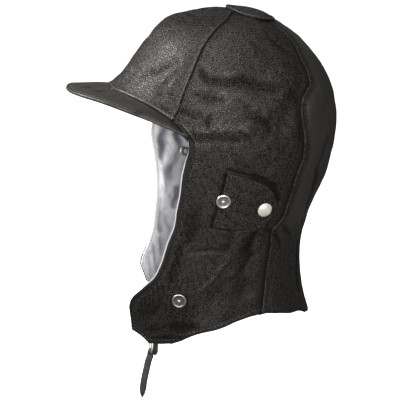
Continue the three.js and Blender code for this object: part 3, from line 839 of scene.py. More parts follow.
def rolled(distance, radius):
    """How far a turned edge drops, 0 further in than its radius."""
    t = np.clip(1 - distance / radius, 0, 1)
    return -radius * (1 - np.sqrt(np.clip(1 - t * t, 0, 1)))


def ridge(distance, at, width, height):
    """A smooth ridge along a line at one distance from an edge."""
    return height * np.exp(-(((distance - at) / width) ** 2))


def side_ridges(panel, at, width, height):
    """The same ridge along a panel's left and right edges."""
    return ridge(panel.left, at, width, height) + ridge(panel.right, at, width, height)


def hem_edge(panel):
    """A turned hem: it rolls in at the edge and swells a little above it."""
    return rolled(panel.bottom, 1.2) + ridge(panel.bottom, 2.4, 1.4, 0.25)


def lay(panel, rise, hem=0.0):
    """The panel's points, drawn in at the seams and let out by the hem's amount at the bottom."""
    points = on_shell(panel.turn, panel.station, rise)
    across, down = unit(np.gradient(points, axis=1)), unit(np.gradient(points, axis=0))
    drawn_in = [SEAM_GAP / 2 * fade(away, 0, 2) for away in (panel.left, panel.right, panel.top)]
    out = points + across * (drawn_in[0] - drawn_in[1])[..., None] + down * drawn_in[2][..., None]
    if np.any(hem):
        out += down * (hem * fade(panel.bottom, 0, 9))[..., None]
    return out


def painted_dimming(turn, station):
    """Painted shade: the chin ends, the foot of the nape, the crown's top and the back are painted darker and
    made less shiny.
    """
    round_it = np.abs(turn)
    chin = smoothstep(station, 262, 318) * fade(round_it, 58, 84)
    nape = 0.15 * smoothstep(station, 285, 335) * smoothstep(round_it, 84, 110)
    top = 0.5 * fade(station, 36, 70) * fade(round_it, 60, 90)
    back = 0.5 * smoothstep(round_it, 118, 140) * fade(np.abs(station - 150), 50, 80)
    return chin + nape + top + back


def leather_panel(name, panel, profile, plain, swell=0.0, hem=0.0, shade=0.0):
    """A wall of leather with its lumps and creases, raised by the profile and swollen away from its seams."""
    lumps = unevenness(panel.points, 34, 3) * 0.4 + unevenness(panel.points, 12, 5) * 0.16
    edge = np.minimum.reduce([panel.left, panel.right, panel.bottom])
    folded = creases(panel.turn, panel.station) * (0.1 + 0.9 * smoothstep(edge, 0, 6))
    folded = np.where(folded > 0, 1.2 * np.tanh(folded / 1.2), folded)
    seams = np.minimum(panel.left, panel.right)
    seat = flap_seat(panel.turn, panel.station)
    rise = profile + lumps * smoothstep(edge, 1, 12) - folded - seat + swell * smoothstep(seams, 0, 14)
    rise = np.where(rise < 0, 1.4 * np.tanh(rise / 1.4), rise)
    outer = lay(panel, rise, hem)
    inner = lay(panel, np.minimum(rise - 0.6, -LEATHER), hem)
    rows, columns = rise.shape
    points = np.concatenate([outer.reshape(-1, 3), inner.reshape(-1, 3)])
    # Painted light: creases, the pressed band round the ear flap and the seam edges are painted darker as
    # shade, and raised ridges and rolls lighter as highlights.
    raised = np.clip(profile, -0.6, 0.6) * 0.7 * (1 - 0.75 * plain)
    painted_shading_and_mottle = 0.5 - np.clip(folded * 0.32 + seat * 0.5 + shade - raised, -0.5, 0.5)
    layers = {
        "plain": np.concatenate([plain.ravel(), np.ones(rise.size)]),
        "painted_shading_and_mottle": np.concatenate([painted_shading_and_mottle.ravel(), np.full(rise.size, 0.4)]),
        "dull": np.tile(painted_dimming(panel.turn, panel.station).ravel(), 2),
    }
    return make_piece(name, points, sheet_faces(rows, columns), panel_leather, layers)


def lining_panel(name, panel, seed, reach=0.0, front=None, face=None):
    """The lining lies behind the leather, billows inwards, and reaches past it along the face edge."""
    folds = np.clip(unevenness(panel.points * np.array([1, 1, 0.28]), 15, seed) * 0.5, -0.5, 0.8)
    folds = folds + unevenness(panel.points, 26, seed + 1) * 0.3
    drawn = wavy_marks(LINING_FOLDS, panel.turn, panel.station)
    edge = np.minimum.reduce([panel.left, panel.right, panel.top, panel.bottom])
    depth = LINING + np.clip(1.7 + folds - drawn, 0, 4.2) * smoothstep(edge, 0.6, 7)
    outer = lay(panel, np.full(panel.turn.shape, -LEATHER - GAP))
    inner = lay(panel, -LEATHER - GAP - depth)
    if front:
        k, near = (0, 4) if front == "left" else (-1, -5)
        out = frame_at(panel.turn[face, k], panel.station[face, k])[2]
        high = 0.35 + 0.65 * smoothstep(np.arange(len(out)), 4, 22)
        share = high * fade(panel.station[face, k], 284, 302)
        for grid in (outer, inner):
            grid[face, k] += (unit(grid[face, k] - grid[face, near]) + out * 0.45) * reach * share[:, None]
    points = np.concatenate([outer.reshape(-1, 3), inner.reshape(-1, 3)])
    # Painted light: the lining is painted darker in its drawn folds and lighter where it billows, and its
    # edges painted bright as a highlight.
    painted_shading_and_mottle = 0.6 - np.clip((drawn + folds * -0.5) * 0.25, -0.4, 0.6)
    painted_shading_and_mottle = np.maximum(painted_shading_and_mottle, 1.5 * fade(edge, 2.2, 4.0))
    layers = {"painted_shading_and_mottle": np.tile(painted_shading_and_mottle.ravel(), 2)}
    piece = make_piece(name, points, sheet_faces(*panel.turn.shape), satin, layers)
    size, area = panel.cut()
    return piece


front_seam = curve_through(to_flat(FRONT_SEAM))
temple = curve_through(to_flat(BROW_LINE[5:]))
back_seam = curve_through(to_flat(BACK_SEAM))


def true_length(line):
    """Length of a flat line as it lies on the shell."""
    return arc_lengths(shell(*from_flat(line)))[-1]


def side_front(edge):
    """A side panel's front line: seam, temple, face edge and chin end."""
    chin = np.concatenate([to_flat(edge[-1]), to_flat(CHIN_CORNER)])
    corner, rest = curve_through(to_flat(edge[:2])), curve_through(to_flat(edge[1:]))
    return chain(front_seam, temple, corner, rest, chin)


side_hem = chain(
    np.concatenate([to_flat(CHIN_CORNER), to_flat(CHIN_HEM[0])]),
    curve_through(to_flat(CHIN_HEM)),
    curve_through(to_flat(SIDE_HEM)),
)


def side_panel(edge):
    """A side panel, which of its rows run along the front seam, and those along the face edge."""
    front, stops = side_front(edge)
    hem, hem_stops = side_hem
    top = np.stack([front[0], SEAM_MEETING, back_seam[0]])
    down = steps_between(stops, STEP / arc_lengths(front)[-1])
    across = steps_between(hem_stops, STEP / true_length(hem))
    panel = Panel(patchwork(front, back_seam, top, hem, down, across))
    return panel, down <= stops[0], slice(int(np.argmax(down > stops[1])), None)


def flip(panel):
    """The same panel on the other side, its columns still running left to right from outside."""
    return Panel(mirrored(panel.flat)[:, ::-1])


def front_panel():
    """The crown's front, from the meeting of the seams to the brow."""
    brow_half = curve_through(to_flat(BROW_LINE[:6]))
    brow = np.concatenate([mirrored(brow_half)[::-1], brow_half[1:]])
    left = np.concatenate([SEAM_MEETING[None], front_seam])
    top = np.stack([SEAM_MEETING * [-1, 1], SEAM_MEETING])
    down = steps_between([1.0], STEP / arc_lengths(left)[-1])
    across = steps_between([0.5, 1.0], STEP / true_length(brow))
    return Panel(patchwork(mirrored(left), left, top, brow, down, across))


def back_panel():
    """The crown's back and the neck, from the meeting of the seams to the nape."""
    left = np.concatenate([SEAM_MEETING[None], back_seam])
    half = curve_through(to_flat(BACK_HEM))
    hem = np.concatenate([half, mirrored(half)[::-1][1:]])
    top = np.stack([SEAM_MEETING, SEAM_MEETING * [-1, 1]])
    down = steps_between([1.0], STEP / arc_lengths(left)[-1])
    across = steps_between([0.5, 1.0], STEP / true_length(hem))
    return Panel(patchwork(left, mirrored(left), top, hem, down, across))


def side_profile(panel, seam_rows, front, back):
    """Rolled edges: a seam in front, a valley along the back seam, a bound edge round the face."""
    seam = seam_rows[:, None]
    near_front, near_back = getattr(panel, front), getattr(panel, back)
    sewn = rolled(near_front, 0.8) - ridge(near_front, 0, 1.6, 0.4) - ridge(near_front, 0, 10, 0.3)
    binding = rolled(near_front, 1.3) + ridge(near_front, 2.2, 1.5, 0.55) - ridge(near_front, 4.6, 0.8, 0.5)
    profile = np.where(seam, sewn, binding + ridge(near_front, 8.0, 1.8, 0.5))
    profile = profile + rolled(near_back, 1.3) - ridge(near_back, 0, 3.6, 0.7) + hem_edge(panel)
    plain = np.maximum.reduce([
        np.where(seam, 0.5 * fade(near_front, 1.2, 3), fade(near_front, 3.2, 5.2)),
        0.75 * fade(near_back, 2, 8),
        0.8 * fade(panel.bottom, 1.5, 3),
    ])
    shade = 0.5 * np.where(seam, fade(near_front, 1.0, 2.4), fade(near_front, 2.8, 4.8))
    return profile, plain, shade + 0.25 * fade(near_back, 3, 7)


left_side, left_seam, left_face = side_panel(FACE_EDGE)
right_side, right_seam, right_face = side_panel(RIGHT_FACE_EDGE)
right_side = flip(right_side)
front_part = front_panel()
back_part = back_panel()

for name, panel, seam, face, front, back, reach, seed in (
    ("left", left_side, left_seam, left_face, "left", "right", 1.3, 11),
    ("right", right_side, right_seam, right_face, "right", "left", 0.9, 23),
):
    profile, plain, shade = side_profile(panel, seam, front, back)
    let_out = 1.1 + 1.5 * smoothstep(np.abs(panel.turn), 94, 110)
    leather_panel(f"side_panel_{name}", panel, profile, plain, hem=let_out, shade=shade)
    lining_panel(f"side_lining_{name}", panel, seed, reach, front, face)

brow = front_part.bottom
front_profile = (
    rolled(front_part.left, 0.8) + rolled(front_part.right, 0.8) + side_ridges(front_part, 1.5, 1.4, 0.4)
    + rolled(brow, 1.2) + ridge(brow, 1.6, 1.0, 0.35) - ridge(brow, 3.6, 0.8, 0.35)
)
near_seam = np.minimum(front_part.left, front_part.right)
front_plain = np.maximum(0.4 * fade(near_seam, 1, 3), 0.8 * fade(brow, 2.0, 3.6))
leather_panel("front_panel", front_part, front_profile, front_plain, swell=1.1)
lining_panel("front_lining", front_part, 31)

near_seam = np.minimum(back_part.left, back_part.right)
welt = rolled(near_seam, 0.9) + side_ridges(back_part, 2.0, 1.6, 0.45) - side_ridges(back_part, 4.6, 1.0, 0.2)
back_plain = 0.12 + 0.85 * smoothstep(near_seam, 4, 9) * fade(back_part.station, 222, 262)
round_back = np.abs(back_part.turn)
fullness = 1.3 + ridge(back_part.station, 200, 34, 2.2) * smoothstep(round_back, 130, 150)
let_out = 2.3 - 1.3 * smoothstep(round_back, 120, 165)
leather_panel("back_panel", back_part, welt + hem_edge(back_part), back_plain, swell=fullness, hem=let_out)
lining_panel("back_lining", back_part, 41)

# Stitches


def stitch_tree():
    """Geometry Nodes: one rounded stitch set at every pitch along a line."""
    tree = bpy.data.node_groups.new("stitch run", "GeometryNodeTree")
    tree.interface.new_socket("Geometry", in_out="INPUT", socket_type="NodeSocketGeometry")
    for name in ("Pitch", "Length", "Width"):
        tree.interface.new_socket(name, in_out="INPUT", socket_type="NodeSocketFloat")
    tree.interface.new_socket("Thread", in_out="INPUT", socket_type="NodeSocketMaterial")
    tree.interface.new_socket("Geometry", in_out="OUTPUT", socket_type="NodeSocketGeometry")
    start, curve, spaced, bead, size, long, tangent, turned, put, real, coloured, end = (
        tree.nodes.new(kind) for kind in (
            "NodeGroupInput", "GeometryNodeMeshToCurve", "GeometryNodeResampleCurve",
            "GeometryNodeMeshUVSphere", "ShaderNodeCombineXYZ", "GeometryNodeTransform",
            "GeometryNodeInputTangent", "FunctionNodeAlignRotationToVector", "GeometryNodeInstanceOnPoints",
            "GeometryNodeRealizeInstances", "GeometryNodeSetMaterial", "NodeGroupOutput",
        ))
    spaced.mode = "LENGTH"
    turned.axis = "X"
    for socket, value in (("Segments", 8), ("Rings", 5), ("Radius", 0.5)):
        bead.inputs[socket].default_value = value
    for source, output, target, entry in (
        (start, "Geometry", curve, "Mesh"),
        (curve, "Curve", spaced, "Curve"),
        (start, "Pitch", spaced, "Length"),
        (start, "Length", size, "X"),
        (start, "Width", size, "Y"),
        (start, "Width", size, "Z"),
        (bead, "Mesh", long, "Geometry"),
        (size, "Vector", long, "Scale"),
        (tangent, "Tangent", turned, "Vector"),
        (spaced, "Curve", put, "Points"),
        (long, "Geometry", put, "Instance"),
        (turned, "Rotation", put, "Rotation"),
        (put, "Instances", real, "Geometry"),
        (real, "Geometry", coloured, "Geometry"),
        (start, "Thread", coloured, "Material"),
        (coloured, "Geometry", end, "Geometry"),
    ):
        tree.links.new(source.outputs[output], target.inputs[entry])
    return tree


STITCHES = stitch_tree()


def stitch_run(name, lines, thread, pitch, length, width):
    """Stitches along one or more lines of points, as one plain mesh."""
    points, edges = [], []
    for line in lines:
        first = len(points)
        edges.extend((first + k, first + k + 1) for k in range(len(line) - 1))
        points.extend((np.asarray(line) * MM).tolist())
    guide = bpy.data.meshes.new(name + "_guide")
    guide.from_pydata(points, edges, [])
    carrier = bpy.data.objects.new(name + "_guide", guide)
    bpy.context.scene.collection.objects.link(carrier)
    modifier = carrier.modifiers.new("stitches", "NODES")
    modifier.node_group = STITCHES
    values = {"Pitch": pitch * MM, "Length": length * MM, "Width": width * MM, "Thread": thread}
    for item in STITCHES.interface.items_tree:
        if item.in_out == "INPUT" and item.name in values:
            modifier[item.identifier] = values[item.name]
    graph = bpy.context.evaluated_depsgraph_get()
    mesh = bpy.data.meshes.new_from_object(carrier.evaluated_get(graph))
    bpy.data.objects.remove(carrier)
    show(name, mesh)


def laid_line(flat, rise):
    """A flat line laid on the shell at a given rise."""
    turn, station = from_flat(flat)
    return on_shell(turn, station, np.full(turn.shape, rise))


face_sides = ((left_side, "left", left_face), (right_side, "right", right_face))
for name, rows, rise, thread, pitch, length, width, slot in (
    ("brow_stitches", [front_part.inset("bottom", 3.4)], 0.02, dark_thread, 3.4, 2.3, 0.7, "leather"),
    ("hem_stitches", [panel.inset("bottom", 3.4) for panel in (left_side, back_part, right_side)],
     0.12, dark_thread, 3.4, 2.2, 0.55, "leather"),
    ("back_seam_stitches", [back_part.inset(edge, 4.4) for edge in ("left", "right")],
     -0.02, black_thread, 3.4, 2.2, 0.6, "leather"),
    ("face_edge_stitches", [panel.inset(edge, 4.4, face) for panel, edge, face in face_sides],
     -0.15, dark_thread, 3.2, 2.1, 0.45, "leather"),
    ("lining_stitches", [panel.inset(edge, 1.7, face) for panel, edge, face in face_sides],
     -WALL - 0.1, grey_thread, 2.6, 1.8, 0.6, "satin"),
):
    stitch_run(name, [laid_line(row, rise) for row in rows], thread, pitch, length, width)

# The peak

PEAK = {
    "half_width": 71.8, "root": -46, "reach": 95.9, "thickness": 3.2, "gap": 0.5, "columns": 141, "rows": 25,
    "bow": 0.5, "full_bow_width": 40, "stitches_at": 2.9, "unstitched_width": 12,
}
# Distance of the stitches' groove from the lip, its width and its depth
PEAK_GROOVE = (3.0, 0.9, 0.28)
# Angle round from the middle of the peak's edge, and the edge's height there on the left and on the right
PEAK_EDGE = np.array([
    [0, -63.2, -63.2], [20, -63, -64.6], [35, -64, -69], [45, -66.7, -71.5], [55, -71, -74.5],
    [65, -76.5, -79], [75, -82.5, -84.5], [90, -95, -96],
])
UP = np.array([0, 0, 1.0])


def peak_edge_height(angle):
    """Height of the peak's edge at each angle, evened out a little."""
    columns = np.where(angle < 0, 2, 1)
    height = [np.interp(abs(a), PEAK_EDGE[:, 0], PEAK_EDGE[:, k]) for a, k in zip(angle, columns)]
    return np.convolve(np.pad(height, 4, mode="edge"), np.ones(9) / 9, mode="valid")


def make_peak():
    """A bowed bill from the brow seam to a rounded lip, with a groove for its row of stitches."""
    half = np.concatenate([curve_through(to_flat(BROW_LINE[:6])), temple[1:]])
    root = np.concatenate([mirrored(half)[::-1], half[1:]])
    shares = np.linspace(0, 1, PEAK["columns"])
    turn, station = from_flat(along(root, shares))
    line = shell(turn, station)
    out = frame_at(turn, station)[2]
    seat = line + unit(np.cross(np.gradient(line, axis=0), out)) * PEAK["gap"]
    inner = seat - out * WALL
    angle = 90 * (2 * shares - 1)
    edge = np.stack([
        PEAK["half_width"] * np.sin(np.radians(angle)),
        PEAK["root"] - PEAK["reach"] * np.cos(np.radians(angle)),
        peak_edge_height(angle),
    ], -1)
    width = np.linalg.norm(edge - seat, axis=-1)
    middle = PEAK["thickness"] / 2
    across = np.linspace(0, 1, PEAK["rows"], endpoint=False)
    bow = PEAK["bow"] * np.sin(math.pi * across) ** 2
    lip = np.linspace(math.pi / 2, -math.pi / 2, 9)[:, None]
    columns = []
    for i in range(len(angle)):
        span = unit(edge[i] - seat[i])
        body = width[i] - middle
        flat = seat[i] + span * body * across[:, None]
        rise = bow * min(width[i] / PEAK["full_bow_width"], 1) - ridge((1 - across) * body, *PEAK_GROOVE)
        top = np.concatenate([inner[i:i + 1], flat + rise[:, None] * UP])
        front = seat[i] + span * body - UP * middle + middle * (span * np.cos(lip) + UP * np.sin(lip))
        below = np.concatenate([flat[::-1], inner[i:i + 1]]) - UP * PEAK["thickness"]
        columns.append(np.concatenate([top, front, below]))
    columns = np.array(columns)[::-1]
    points = columns.reshape(-1, 3)
    points[:, 2] += unevenness(points, 40, 9) * 0.25
    mottled = 0.5 + 0.22 * unevenness(points, 16, 5) + 0.1 * unevenness(points, 5, 6)
    layers = {"painted_shading_and_mottle": np.clip(mottled, 0.1, 0.95)}
    make_piece("peak", points, tube_faces(*columns.shape[:2]), smooth_leather, layers)
    inside = edge - unit(edge - seat) * (middle + PEAK["stitches_at"]) - 0.1 * UP
    stitch_run("peak_stitches", [inside[width > PEAK["unstitched_width"]]], dark_thread, 3.2, 2.5, 0.7)


make_peak()

# The crown patch

PATCH = {"seat": 0.5, "centre": 26, "half_length": 20.5, "half_width": 25, "sides": 96, "stitches_at": 0.91}
# Share of the radius and rise of each ring of points, from the middle of the top round to below
PATCH_PROFILE = [
    (0.02, 3.3), (0.2, 3.3), (0.4, 3.25), (0.6, 3.1), (0.74, 2.8), (0.81, 2.4), (0.85, 1.95), (0.875, 1.8),
    (0.9, 2.1), (0.93, 2.65), (0.965, 2.8), (0.99, 2.5), (1.005, 1.9), (1.01, 1.3), (1.0, 0.85),
    (0.97, PATCH["seat"]), (0.6, PATCH["seat"]), (0.02, PATCH["seat"]),
]


def make_patch():
    """A padded disc: a raised middle, a groove and a piped rim, closed underneath."""
    angles = -2 * math.pi * np.arange(PATCH["sides"]) / PATCH["sides"]
    wave = 1 + 0.012 * np.sin(3 * angles + 1) + 0.008 * np.sin(7 * angles)
    tilt = np.sin(2 * angles + 0.7)

    def ring(share):
        x = PATCH["half_width"] * share * wave * np.cos(angles)
        y = PATCH["centre"] + PATCH["half_length"] * share * wave * np.sin(angles)
        return from_flat(np.stack([x, y], -1))

    rings = []
    painted_shading_and_mottle = []
    for share, rise in PATCH_PROFILE:
        lift = np.full(angles.shape, float(rise))
        if rise > 1:
            front = ridge(np.sin(angles), -1, 0.35, 0.4) * smoothstep(share, 0.55, 0.95)
            lift += 0.25 * tilt * share + front
        rings.append(on_shell(*ring(share), lift))
        # Painted light: the groove is painted dark as shade and the piped rim painted light as a highlight.
        groove, rim = 0.84 < share < 0.89 or share > 1, 0.91 < share < 1 and rise > 2
        painted_shading_and_mottle.append(0.85 if rim else 0.1 if groove else 0.5)
    points = np.concatenate(rings)
    layers = {"plain": np.full(len(points), 0.25), "painted_shading_and_mottle": np.repeat(painted_shading_and_mottle, PATCH["sides"])}
    faces = tube_faces(len(PATCH_PROFILE), PATCH["sides"])
    piece = make_piece("crown_patch", points, faces, panel_leather, layers)
    stitches = on_shell(*ring(PATCH["stitches_at"]), 2.45 + 0.22 * tilt)
    stitch_run("patch_stitches", [np.concatenate([stitches, stitches[:1]])], dark_thread, 3.0, 2.1, 0.6)
    return piece


make_patch()

# Ear flaps

EAR_SEWN = [(73.5, 231), (75, 204), (76.5, 178)]
EAR_TOP = [(76.5, 178), (84, 181.5), (93, 188), (101, 198)]
EAR_TIP = [(102.5, 228), (106.5, 220), (105.5, 210), (101, 198)]
EAR_FOOT = [(73.5, 231), (84, 234.5), (93.5, 233), (102.5, 228)]
# Spacing of an ear flap's rows and columns, as a share of its length and width
EAR_STEP = 0.02
EAR_LIFT = 1.2
EAR_SEAT = 0.45
EAR_STUD = (76.5, 204.5)
EAR_CAP = (98.5, 214.5)
CHIN_STUD = (63, 305)
METAL_SEAT = 0.35
INSIDE_SEAT = 0.8


def ear_place(side, turn, station):
    """Where a place on the left ear flap lies on the given side's one."""
    if side > 0:
        return turn, station
    return RIGHT_EAR["forward"] - turn, station - RIGHT_EAR["up"]


def make_ear_flap(side, word):
    """A flap that lies on the side panel, lifts towards its tip and is pressed down under its cap."""
    spaced = steps_between([1.0], EAR_STEP)
    flat = patchwork(
        curve_through(to_flat(EAR_SEWN))[::-1], curve_through(to_flat(EAR_TIP))[::-1],
        curve_through(to_flat(EAR_TOP)), curve_through(to_flat(EAR_FOOT)), spaced, spaced)
    panel = Panel(flat)
    edge = np.minimum.reduce([panel.left, panel.right, panel.top, panel.bottom])
    turn, station = ear_place(side, panel.turn, panel.station)
    lift = EAR_LIFT * spaced[None, :] ** 2 + 0.5 * spaced[None, :] * (1 - spaced[:, None]) ** 3
    swell = unevenness(panel.points, 22, 15) * 0.22 * smoothstep(edge, 1, 7)
    from_cap = np.hypot((panel.turn - EAR_CAP[0]) * MM_PER_TURN, panel.station - EAR_CAP[1])
    top = EAR_SEAT + LEATHER + lift + rolled(edge, 1.2) + swell - ridge(from_cap, 0, 9, 0.3)
    outer = on_shell(turn, station, top)
    inner = on_shell(turn, station, EAR_SEAT + lift)
    if side < 0:
        outer, inner, edge = outer[:, ::-1], inner[:, ::-1], edge[:, ::-1]
    points = np.concatenate([outer.reshape(-1, 3), inner.reshape(-1, 3)])
    plain = 0.5 * fade(edge, 0.6, 1.8)
    # Painted light: the flap is painted lighter than the panel, and dark along its edges as shade.
    painted_shading_and_mottle = 0.7 - 0.68 * fade(edge, 0.5, 1.7)
    layers = {"plain": np.tile(plain.ravel(), 2), "painted_shading_and_mottle": np.tile(painted_shading_and_mottle.ravel(), 2)}
    make_piece(f"ear_flap_{word}", points, sheet_faces(*edge.shape), panel_leather, layers)


def spun(profile, sides, place, out):
    """Rings of points turned round the way out from a place."""
    side = unit(np.cross(out, [0, 0, 1]))
    up = np.cross(side, out)
    angles = 2 * math.pi * np.arange(sides) / sides
    rings = [
        place + out * height + radius * (np.cos(angles)[:, None] * side + np.sin(angles)[:, None] * up)
        for radius, height in profile
    ]
    return np.concatenate(rings)


# Radius and height of each ring of a snap's parts, from the middle of the top round to below
STUD_PROFILE = [
    (0.05, 3.1), (0.8, 3.08), (1.5, 2.9), (1.95, 2.5), (2.05, 1.9), (1.85, 1.2), (2.0, 0.85), (2.6, 0.75),
    (3.6, 0.72), (4.5, 0.8), (4.9, 1.05), (5.2, 1.4), (5.6, 1.58), (6.1, 1.5), (6.5, 1.1), (6.62, 0.7),
    (6.5, 0.3), (6.2, 0.0), (3.0, 0.0), (0.05, 0.0),
]
CAP_PROFILE = [
    (0.05, 2.95), (1.2, 2.9), (2.6, 2.68), (3.8, 2.3), (4.8, 1.85), (5.7, 1.4), (6.3, 1.0), (6.65, 0.65),
    (6.7, 0.4), (6.5, 0.15), (6.1, 0.0), (3.0, 0.0), (0.05, 0.0),
]
RIVET_PROFILE = [
    (0.05, 0.35), (1.6, 0.38), (2.1, 0.6), (2.6, 0.95), (3.4, 1.0), (4.1, 0.9), (4.8, 0.75), (5.4, 0.55),
    (5.6, 0.3), (5.4, 0.0), (3.0, 0.0), (0.05, 0.0),
]
# Inner and outer radius of the ring painted dark as shade in a stud and in a rivet
STUD_HOLLOW = (1.7, 4.7)
RIVET_HOLLOW = (1.8, 3.0)
METAL_SIDES = 40


def make_metal(name, profile, place, rise, material, hollow, way):
    """A turned part of a snap, which faces out of the shell (way 1) or into the hollow (way -1)."""
    turn, station = np.float64(place[0]), np.float64(place[1])
    points = spun(profile, METAL_SIDES, on_shell(turn, station, rise), way * frame_at(turn, station)[2])
    faces = [face[::-1] for face in tube_faces(len(profile), METAL_SIDES)]
    # Painted shade: the hollow ring between these radii is painted dark and dull.
    dull = [hollow is not None and hollow[0] < radius < hollow[1] for radius, _ in profile]
    layers = {"painted_shading_and_mottle": np.repeat(np.where(dull, 0.1, 1.0), METAL_SIDES)}
    make_piece(name, points, faces, material, layers, 50)


for side, word in ((1, "left"), (-1, "right")):
    make_ear_flap(side, word)
    flap_top = EAR_SEAT + LEATHER + METAL_SEAT
    stud, cap = ear_place(side, *EAR_STUD), ear_place(side, *EAR_CAP)
    chin = (side * CHIN_STUD[0], CHIN_STUD[1])
    inside = -WALL - INSIDE_SEAT
    for name, profile, place, rise, material, slot, hollow, way in (
        ("ear_stud", STUD_PROFILE, stud, flap_top, bright_nickel, "nickel", STUD_HOLLOW, 1),
        ("ear_cap", CAP_PROFILE, cap, flap_top + EAR_LIFT, pale_cap, "cap", None, 1),
        ("ear_rivet", RIVET_PROFILE, stud, inside, dull_nickel, "nickel", RIVET_HOLLOW, -1),
        ("chin_stud", STUD_PROFILE, chin, METAL_SEAT, dull_nickel, "nickel", STUD_HOLLOW, 1),
        ("chin_rivet", RIVET_PROFILE, chin, inside, dull_nickel, "nickel", RIVET_HOLLOW, -1),
    ):
        make_metal(f"{name}_{word}", profile, place, rise, material, hollow, way)

# The ring, its tab and the chin strap

STRAP = {"width": 6.5, "thickness": 1.2, "turn": -48.5, "station": 347.5, "sewn": 13, "steps": 16}
# Distance from the strap's free end, and the share of its width there
STRAP_TIP = np.array([[0, 0.1], [3.8, 0.68], [9.4, 1]])
# The strap's next place after the right flap's edge, from that edge
STRAP_LEAVES = [5, -5, -9]
# The strap's way under the chin: X and Y, and the height above the ring's lower bar
UNDER_CHIN = [(-26, -56, 16), (-6, -60, 14), (14, -64, 16)]
# Its way through the ring, from that bar: X, Y, Z and the angle of its width, 0 along the bar
THROUGH_RING = [
    (-8, 6.2, 20, -80), (-1.5, 6.4, 17, -70), (0, 5.8, 12.5, -30), (0, 4.7, 7.5, 28), (0, 4.4, 1.5, 32),
    (0, 4, -1.7, 28), (0, 2.75, -2.75, 20), (0, 1.9, -1.5, 8), (0, 1.5, 0.3, 0), (0, 0, 1.5, 0),
    (0, -1.5, 0.1, 0), (0, -1.3, -1.6, 22), (0, -0.6, -3.8, 68), (0, -1.1, -6, 77), (0, -2.2, -9, 77),
    (0, -4.5, -19, 77), (0, -6.7, -29, 77), (0, -8.9, -46.4, 77),
]
RING = {
    "turn": 46.3, "station": 345, "inset": 8.5, "wire": 0.7, "half_width": 4.7, "height": 14, "corner": 0.32,
    "steps": 96, "sides": 12,
}
TAB = {"width": 4.4, "ply": 0.9, "slack": 0.65, "rise": 9.5, "turn": 48.5, "over": 1.2, "steps": 12}

ring_top = on_shell(np.float64(RING["turn"]), np.float64(RING["station"]), -RING["inset"])
bar = ring_top - np.array([0, 0, RING["height"]])
ALONG_BAR = np.array([1.0, 0, 0])
# One rounded corner of a band's section, as shares of half its width and half its thickness
BAND_CORNER = [(1, 0.36), (0.97, 0.808), (0.904, 1)]


def ring_middle(angle):
    """The middle of the ring's wire at an angle round it: a rectangle with rounded corners."""
    across, up = (math.copysign(abs(v) ** RING["corner"], v) for v in (math.sin(angle), math.cos(angle)))
    return ring_top + np.array([RING["half_width"] * across, 0, RING["height"] / 2 * (up - 1)])


def make_ring():
    """A ring of bent wire, hung from its middle at the top."""
    steps, sides = RING["steps"], RING["sides"]
    through = np.array([0, 1.0, 0])
    centres = np.array([ring_middle((i + 0.5) * 2 * math.pi / steps) for i in range(steps)])
    centres = along(np.concatenate([centres, centres[:1]]), np.arange(steps) / steps)
    turns = 2 * math.pi * np.arange(sides)[:, None] / sides
    points = []
    for i in range(steps):
        side = np.cross(through, unit(centres[(i + 1) % steps] - centres[i - 1]))
        points.extend(centres[i] + RING["wire"] * (side * np.cos(turns) + through * np.sin(turns)))
    layers = {"painted_shading_and_mottle": np.ones(len(points))}
    make_piece("strap_ring", points, tube_faces(steps, sides, True), ring_nickel, layers)


def make_band(name, places, width, thickness, steps, width_share, material):
    """A strap of rounded section along a line of places, each with the way its width runs there."""
    at = np.array([place for place, _ in places])
    wide = np.array([way for _, way in places], float)
    middles = curve_through(at, steps)
    lengths = arc_lengths(middles)
    aheads = unit(np.gradient(middles, lengths, axis=0))
    outline = []
    for w, h in ((1, 1), (-1, 1), (-1, -1), (1, -1)):
        pair = [(w * a, h * b) for a, b in BAND_CORNER]
        outline.extend(pair if w * h > 0 else pair[::-1])
    rings = []
    for i, middle in enumerate(middles):
        k = min(i // steps, len(places) - 2)
        share = smoothstep(i / steps - k, 0, 1)
        way = wide[k] * (1 - share) + wide[k + 1] * share
        way = unit(way - aheads[i] * (way @ aheads[i]))
        thick = np.cross(aheads[i], way)
        half = width * width_share(lengths[-1] - lengths[i]) / 2
        rings.extend(middle + way * half * w + thick * thickness / 2 * h for w, h in outline)
    layers = {"painted_shading_and_mottle": np.full(len(rings), 0.5)}
    make_piece(name, rings, tube_faces(len(middles), len(outline)), material, layers, 60)


def make_tab():
    """The strip that holds the ring: down inside the flap, round under the ring's top bar and up again."""
    place = np.float64(TAB["turn"]), np.float64(RING["station"] - TAB["rise"])
    flat = frame_at(*place)[1]
    outer = -WALL - 2 * INSIDE_SEAT - TAB["ply"] / 2
    inner = outer - TAB["ply"] - 2 * GAP
    bend = RING["wire"] + TAB["slack"] + TAB["ply"] / 2
    slant = bend * math.sqrt(0.5)
    over = TAB["over"]
    offsets = [(0, -bend, over), (0, -slant, -slant), (0, 0, -bend), (0, slant, -slant), (0, bend, over)]
    places = [(on_shell(*place, outer), flat)]
    places += [(ring_top + np.array(offset), ALONG_BAR) for offset in offsets]
    places += [(on_shell(*place, inner), flat)]
    make_band("ring_tab", places, TAB["width"], TAB["ply"], TAB["steps"], lambda _: 1, edge_leather)


